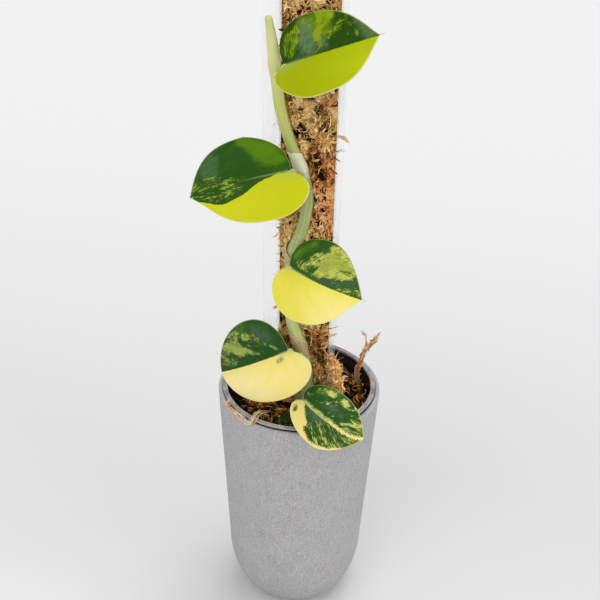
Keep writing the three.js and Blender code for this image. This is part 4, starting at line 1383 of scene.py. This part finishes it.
def moss_on_top(count, reach, width, seed):
    """Bits of moss that lie across the moss's cut top, inside the channel and below its edge."""
    pick = np.random.default_rng(seed)
    x, y = pick.uniform(-17, 17, count), pick.uniform(-5, 17, count)
    z = MOSS_LENGTH + top_lumps(x, y)
    roots = side_by_side(x, y, z)
    up = np.tile([0.0, 0.0, 1.0], (count, 1))
    paths = settle(pick, roots, up, reach, (0.4, 2.4), (-0.1, 0.4))
    along_x, along_y, height = np.moveaxis(paths, -1, 0)
    inside = (np.hypot(along_x, np.maximum(along_y, 0)) < 18.6) & (along_y > -7)
    clear = np.all(inside & (height < POLE_LENGTH - 2), axis=1)
    tint = pick.uniform(0.1, 1.0, count)
    return flakes(pick, to_pole(paths[clear]), up[clear], width, tint[clear], 0.4 * tint[clear])


def moss_on_mix(count, reach, width, seed):
    """Bits of moss and bark on the mix inside the nursery pot, most of them on its lumps."""
    pick = np.random.default_rng(seed)
    angle = pick.uniform(0, 2 * np.pi, count)
    limit = pot_radius(SOIL_LEVEL) - 1.5
    radius = limit * np.sqrt(pick.uniform(0, 1, count))
    x, y = radius * np.cos(angle), radius * np.sin(angle)
    lump = soil_lumps(x, y)
    chosen = pick.uniform(-2.5, 3, count) < lump
    x, y, lump = x[chosen], y[chosen], lump[chosen]
    roots = side_by_side(x, y, soil_height(x, y) + lump - 0.2) + POT_CENTRE
    up = np.tile([0.0, 0.0, 1.0], (len(x), 1))
    paths = settle(pick, roots, up, reach, (0.4, 2.4), (-0.1, 0.6))
    off_pot = np.linalg.norm(paths[..., :2] - POT_CENTRE[:2], axis=2)
    off_pole = np.linalg.norm(paths[..., :2] - POLE_AT, axis=2)
    inside = np.all((off_pot < limit + 0.6) & (off_pole > CHANNEL_RADIUS + 2), axis=1)
    near_pole = ease(np.hypot(x - 8, y + 6), 44, 24)
    # Painted light: bits on higher lumps are a little paler; the rest of the tint is random.
    tint = np.clip(pick.uniform(0, 0.8, len(x)) + 0.08 * lump, 0, 1)
    return flakes(pick, paths[inside], up[inside], width, tint[inside], near_pole[inside])


# Fluff that spills out of the pole's open side over its right lip, down to the mix: its middle
# line, and how far it reaches round that line
SPILL = [(24, -15, 196), (27, -15.5, 208), (28, -15, 222), (27, -14.5, 234), (23.5, -15, 247)]
SPILL_REACH = (5.5, 7.0, 6.5, 5.0, 2.0)


def spill_core():
    """The spill's core: level rings along its middle line, creased into lumps and drawn in at both ends."""
    rows, sides = 60, 44
    line = curve(SPILL, rows)
    angle = full_turn(sides)[None, :]
    along = np.linspace(0, 1, rows)[:, None]
    reach = np.interp(along, np.linspace(0, 1, len(SPILL_REACH)), SPILL_REACH) - 0.8
    reach = reach + 2.4 * np.abs(bumps(2.2 * np.cos(angle), 2.2 * np.sin(angle), along * 9)) - 0.8
    reach = reach + 0.7 * bumps(5 * np.cos(angle), 5 * np.sin(angle), along * 22)
    reach = reach * np.sqrt(np.clip(1 - (2 * along - 1) ** 6, 0.02, 1))
    rings = side_by_side(
        line[:, :1] + reach * np.cos(angle), line[:, 1:2] + reach * np.sin(angle), line[:, 2:])
    points, faces = closed_rings(line[:1], rings, line[-1:])
    return points, faces, side_by_side(np.full(len(points), 0.42), 0, 0.5)


def shreds(line, spread, count, reach, width, seed, tints, drawn=0.5):
    """Ragged shreds that start about a middle line, up to spread away, and lie mostly along it.

    Their steps along the line are drawn out by that share. Neighbours have much the same tint.
    """
    pick = np.random.default_rng(seed)
    along = pick.uniform(0, 1, count)
    middle = curve(line, 200)
    at = (along * 199).astype(int)
    ahead = unit(np.gradient(middle, axis=0))[at]
    outward = any_square(pick, ahead)
    off = np.interp(along, np.linspace(0, 1, len(spread)), spread) * pick.uniform(0.5, 1.05, count)
    paths = settle(pick, middle[at] + outward * off[:, None], outward, reach, (0.5, 2.8), (-0.4, 0.7))
    back = paths[:, :1]
    step = np.sum((paths - back) * ahead[:, None], axis=2, keepdims=True)
    paths = paths + drawn * step * ahead[:, None]
    clump = 0.5 + 0.45 * bumps(outward[:, 0] * 1.5, outward[:, 2] * 1.5, along * len(spread) * 2.5)
    tint = mix(*tints, np.clip(clump + pick.uniform(-0.35, 0.35, count), 0, 1))
    return flakes(pick, paths, outward, width, tint, pick.uniform(0, 0.5, count))


def tangle(lines, count, spread, width, seed, tints=(0.4, 1.0)):
    """Loose fibres that follow the given lines, each with its own wobble about them."""
    pick = np.random.default_rng(seed)
    steps = 16
    t = np.linspace(0, 1, steps)
    guides = np.stack([curve(line, steps) for line in lines])
    chosen = guides[pick.integers(0, len(lines), count)]
    phase = pick.uniform(0, 7, (count, 1, 3))
    pace = pick.uniform(2.5, 8, (count, 1, 3))
    wobble = np.sin(pace * t[None, :, None] + phase) * pick.uniform(0.3, 1, (count, 1, 3)) * spread
    start = pick.uniform(0, 0.45, count)
    stop = np.minimum(start + pick.uniform(0.35, 0.7, count), 1)
    at = (start[:, None] + (stop - start)[:, None] * t) * (steps - 1)
    low = np.clip(at.astype(int), 0, steps - 2)
    part = (at - low)[..., None]
    row = np.arange(count)[:, None]
    full = chosen + wobble
    paths = full[row, low] * (1 - part) + full[row, low + 1] * part
    outward = any_square(pick, np.ones((count, 3)))
    return flakes(pick, paths, outward, width, pick.uniform(*tints, count), np.zeros(count))


# Loose strands, as middle lines: over the rim at the front left, the dried leaf that stands up at
# the right, and wisps that stick out of the pole
RIM_CRUMBS = [(-57, -30, 213), (-54, -36, 213.8), (-51, -41.5, 213.6), (-47, -46.5, 213.4)]
RIM_FIBRES = [
    [(-53, -38, 213.4), (-48, -44, 214), (-43, -50, 213.4), (-38, -58.5, 212)],
    [(-39, -59, 211.6), (-36, -53, 213.6), (-32, -46, 213.6), (-29, -37, 208), (-24, -28, 203)],
    [(-43, -52, 213.2), (-37, -56, 213.2), (-33, -49, 214), (-30, -40, 211), (-21, -32, 204)],
    [(-36, -57, 212), (-33, -50, 213.6), (-31, -43, 212.6), (-26, -37, 208), (-16, -33, 205)],
]
TUFT = [(46, 14, 203), (49, 14, 223), (52, 14, 234), (57, 13.5, 242), (61, 13.5, 249)]
TUFT_PRONG = [(54, 14, 237), (53, 14, 243), (52, 14.5, 249), (49, 14.5, 253)]
WISPS = [
    [(17, -14, 427), (22.7, -13, 427.8), (26.9, -12, 425.1), (30, -12, 422.6)],
    [(17, -14, 412), (22, -14, 418), (26.6, -12, 417.8)],
    [(-16, -10, 353), (-19.5, -10, 350), (-22, -10, 346.5)],
    [(-16, -10, 292), (-19, -10, 289), (-22.5, -10, 287)],
    [(15, -14, 265), (20, -14, 268), (25, -13, 266), (28, -12.5, 269)],
]
DARK_WISPS = [
    [(17, -14, 414), (21, -14, 412), (24.2, -12, 408)],
    [(17, -13, 272), (24, -13, 273), (30.5, -12, 275.5)],
    [(18, -13, 262), (23, -13, 266), (29, -12.5, 268.5)],
]
STEM_ROOTS = [
    [(5, -20, 214), (2, -23, 208), (-4, -25, 202), (-10, -27, 197)],
    [(3, -20, 212), (4, -24, 205), (6, -27, 198)],
]


def strands(finish, *made):
    """Surfaces with one finish that reads the tint, tip and redness that their points carry."""
    return [Part(points, faces, finish, strand=strand) for points, faces, strand in made]


def build_pots():
    """The planter and the clear nursery pot in it."""
    points, faces, hidden = planter_surface()
    add_piece("planter_body", [Part(points, faces, planter_finish(), hidden=hidden)], "planter")
    add_piece("nursery_pot_body", [Part(*pot_surface(), pot_finish())], "nursery_pot")


def build_soil():
    """The moss mix with its loose bits, the strands over the rim and the dried leaf at the right."""
    add_piece("moss_mix", strands(soil_finish(), soil_surface()), "substrate")
    add_piece("moss_mix_bits", [
        *strands(root_moss, moss_on_mix(1700, (2.5, 8), (0.35, 1.2), 21)),
        *strands(dried_tuft, moss_on_mix(500, (7, 16), (0.12, 0.28), 22))])
    add_piece("loose_strands", strands(
        dried_tuft,
        shreds(RIM_CRUMBS, (0.9, 1.3, 1.0, 0.5), 42, (1.4, 4), (0.3, 0.9), 41, (0.4, 1.0)),
        tangle(RIM_FIBRES, 26, 2.2, (0.2, 0.4), 42, (0.8, 1.0)),
        shreds(TUFT, (2.4, 1.1, 1.3, 1.1, 0.5), 190, (1.6, 4), (0.35, 1.0), 43, (0.15, 1.0), drawn=2.2),
        shreds(TUFT, (1.6, 0.8, 1.2, 1.4, 0.8), 110, (2.5, 5), (0.1, 0.24), 45, (0.5, 1.0), drawn=1.0),
        shreds(TUFT_PRONG, (0.5, 0.5, 0.3), 34, (1, 2.6), (0.2, 0.6), 44, (0.3, 1.0), drawn=2.0)))


def build_pole():
    """The clear channel, the moss in it, and the loose moss on, above and beside that."""
    sheet = Part(*channel_surface(), channel_finish())
    add_piece("pole_channel_sheet", [sheet], "pole_channel")
    core = moss_finish()
    add_piece("pole_moss_core", strands(core, moss_surface()), "pole_moss")
    add_piece("pole_moss_flakes", strands(
        dry_moss,
        moss_on_pole(1700, (4, 9), (0.3, 1.0), 31, lift=1.2),
        moss_on_pole(150, (4, 8), (0.9, 1.8), 39, lift=1.0),
        moss_on_pole(4300, (1.6, 4.6), (0.2, 0.7), 36)))
    greener = moss_on_pole(3600, (2.2, 6), (0.3, 1.2), 32, GREEN_MOSS)
    add_piece("pole_moss_green", strands(green_moss, greener))
    add_piece("pole_moss_top", strands(dry_moss, moss_on_top(520, (2.5, 8), (0.3, 1.2), 30)))
    add_piece("pole_moss_fibres", strands(
        dry_moss,
        moss_on_pole(3000, (4, 12), (0.1, 0.3), 33, steps=8, lift=1.0),
        tangle(WISPS, 60, 1.1, (0.14, 0.5), 34, (0.3, 0.9)),
        tangle(DARK_WISPS, 18, 0.5, (0.14, 0.3), 38, (0.0, 0.2))))
    add_piece("pole_moss_spill", strands(core, spill_core()) + strands(
        dry_moss,
        shreds(SPILL, SPILL_REACH, 520, (3, 7), (0.4, 1.4), 35, (0.2, 1.0)),
        shreds(SPILL, SPILL_REACH, 240, (4, 10), (0.12, 0.3), 37, (0.5, 1.0))))


def build_stem():
    """The stem, its papery sheaths and its short roots."""
    points, faces, run = stem_surface()
    pale = sheath_finish("sheath_pale", (212, 214, 182), (230, 230, 210))
    tan = sheath_finish("sheath_tan", (186, 162, 118), (212, 192, 154))
    olive = sheath_finish("sheath_olive", (164, 152, 96), (212, 186, 152))
    parts = [Part(points, faces, stem_finish(), run=run)]
    for finish, sleeve in (
            (pale, ((396, 393), (418, 413), (-95, 85), 0.45, 2)),
            (tan, ((322, 328), (346, 334), (-125, -5), 1.5, 3)),
            (olive, ((244, 244), (275, 259), (-105, 85), 0.6, 4)),
            (olive, ((203, 203), (219, 217), (-110, 100), 0.7, 5))):
        skin, sides, run = sheath_surface(*sleeve)
        parts.append(Part(skin, sides, finish, run=run))
    add_piece("vine_stem_skin", parts, "vine_stem")
    roots = tangle(STEM_ROOTS, 14, 1.0, (0.25, 0.5), 51, (0.2, 0.7))
    add_piece("stem_roots", strands(dried_tuft, roots))


def tip_thread(leaf):
    """The fine drawn-out tip of a leaf: a tapering rod that carries the midrib on."""
    _, _, along, _, up, _ = leaf_axes(leaf)
    tip = np.array(leaf["tip"], float)
    steps, like_stem_tip = 12, 0.95
    knots = [tip - along * 3 - up * 0.5, tip - up * 0.4, tip + along * 2 + up * 0.1, tip + along * 3.6 + up]
    path = curve(knots, steps)
    wide = np.linspace(0.5, 0.12, steps)[None]
    points, faces = rods(path[None], wide, wide, up[None], 8)
    return points, faces, side_by_side(np.full(len(points), like_stem_tip), 0, 0)


def build_leaves():
    """A blade and a stalk for each leaf, and a thread at the tips where the photo shows one."""
    stalk_green = stem_finish()
    for name, leaf in LEAVES.items():
        points, faces, fields = blade_surface(leaf)
        stalk, sides, run = stalk_surface(leaf)
        parts = [Part(points, faces, leaf_finish(name + "_blade", leaf), **fields),
                 Part(stalk, sides, stalk_green, run=run)]
        if name in ("leaf_1", "leaf_3"):
            thread, sides, run = tip_thread(leaf)
            parts.append(Part(thread, sides, stalk_green, run=run))
        add_piece(name + "_whole", parts, name)


def add_light(name, place, width, strength):
    """A very wide, far-off lamp that shines from a place towards the plant, as a big softbox does."""
    lamp = bpy.data.lights.new(name, "SUN")
    lamp.angle = np.radians(width)
    lamp.energy = strength
    back = unit(np.array(place, float))
    right = unit(np.cross([0.02, 1.0, 0.1], back))
    aim(show(name, lamp), right, np.cross(back, right), back, place)


def build_studio():
    """A plain pale floor with painted shade round the planter, white surroundings and soft lights."""
    finish = Finish("floor_white", Roughness=0.9, Specular_IOR_Level=0.05)
    across, depth, _ = finish.parts(finish.place((9000, 1800, 1)))
    # Painted shade: the floor's colour is a little greyer in a band round and behind the planter.
    finish.colour(finish.ramp(finish.math("ADD", depth, finish.math("ADD", across, 0.11)), [
        (0.0, (222, 222, 222)), (0.08, (211, 212, 211)), (0.19, (206, 207, 206)),
        (0.33, (211, 211, 211)), (0.6, (218, 218, 218)), (1.0, (219, 219, 219))]))
    mesh = bpy.data.meshes.new("floor")
    half = 12.0
    corners = [(-half, -half, 0), (half, -half, 0), (half, half, 0), (-half, half, 0)]
    mesh.from_pydata(corners, [], [(0, 1, 2, 3)])
    mesh.materials.append(finish.material)
    floor = show("floor", mesh)
    world = bpy.data.worlds.new("studio")
    world.use_nodes = True
    background = world.node_tree.nodes["Background"]
    background.inputs["Color"].default_value = (1.0, 1.0, 1.0, 1)
    background.inputs["Strength"].default_value = 0.7
    bpy.context.scene.world = world
    add_light("light_above", (0.3, 0.5, 1.2), 45, 1.1)
    add_light("light_front", (-0.6, -1.0, 0.9), 50, 0.85)
    add_light("light_right", (1.2, -0.5, 0.45), 50, 0.75)
    bpy.context.scene.view_settings.view_transform = "Standard"


# Camera: where it stands (mm), how far it looks down and how much it leans (degrees), and its
# focal length on a 36 mm sensor
CAMERA_AT = (-1.28, -623.5, 669.0)
CAMERA_DOWN = 31.34
CAMERA_ROLL = 1.633
CAMERA_LENS = 57.24


def build_camera():
    """The camera, turned down from level and then rolled about its own line of sight."""
    camera = bpy.data.cameras.new("camera")
    camera.lens = CAMERA_LENS
    camera.sensor_width = 36
    camera.clip_start = 0.01
    camera.clip_end = 60
    down, roll = np.radians(CAMERA_DOWN), np.radians(CAMERA_ROLL)
    ahead = np.array([0, np.cos(down), -np.sin(down)])
    level = np.array([1.0, 0, 0])
    above = np.array([0, np.sin(down), np.cos(down)])
    right = np.cos(roll) * level + np.sin(roll) * above
    up = np.cos(roll) * above - np.sin(roll) * level
    holder = show("camera", camera)
    aim(holder, right, up, -ahead, np.array(CAMERA_AT) * MM)
    bpy.context.scene.camera = holder


build_pots()
build_soil()
build_pole()
build_stem()
build_leaves()
build_studio()
build_camera()
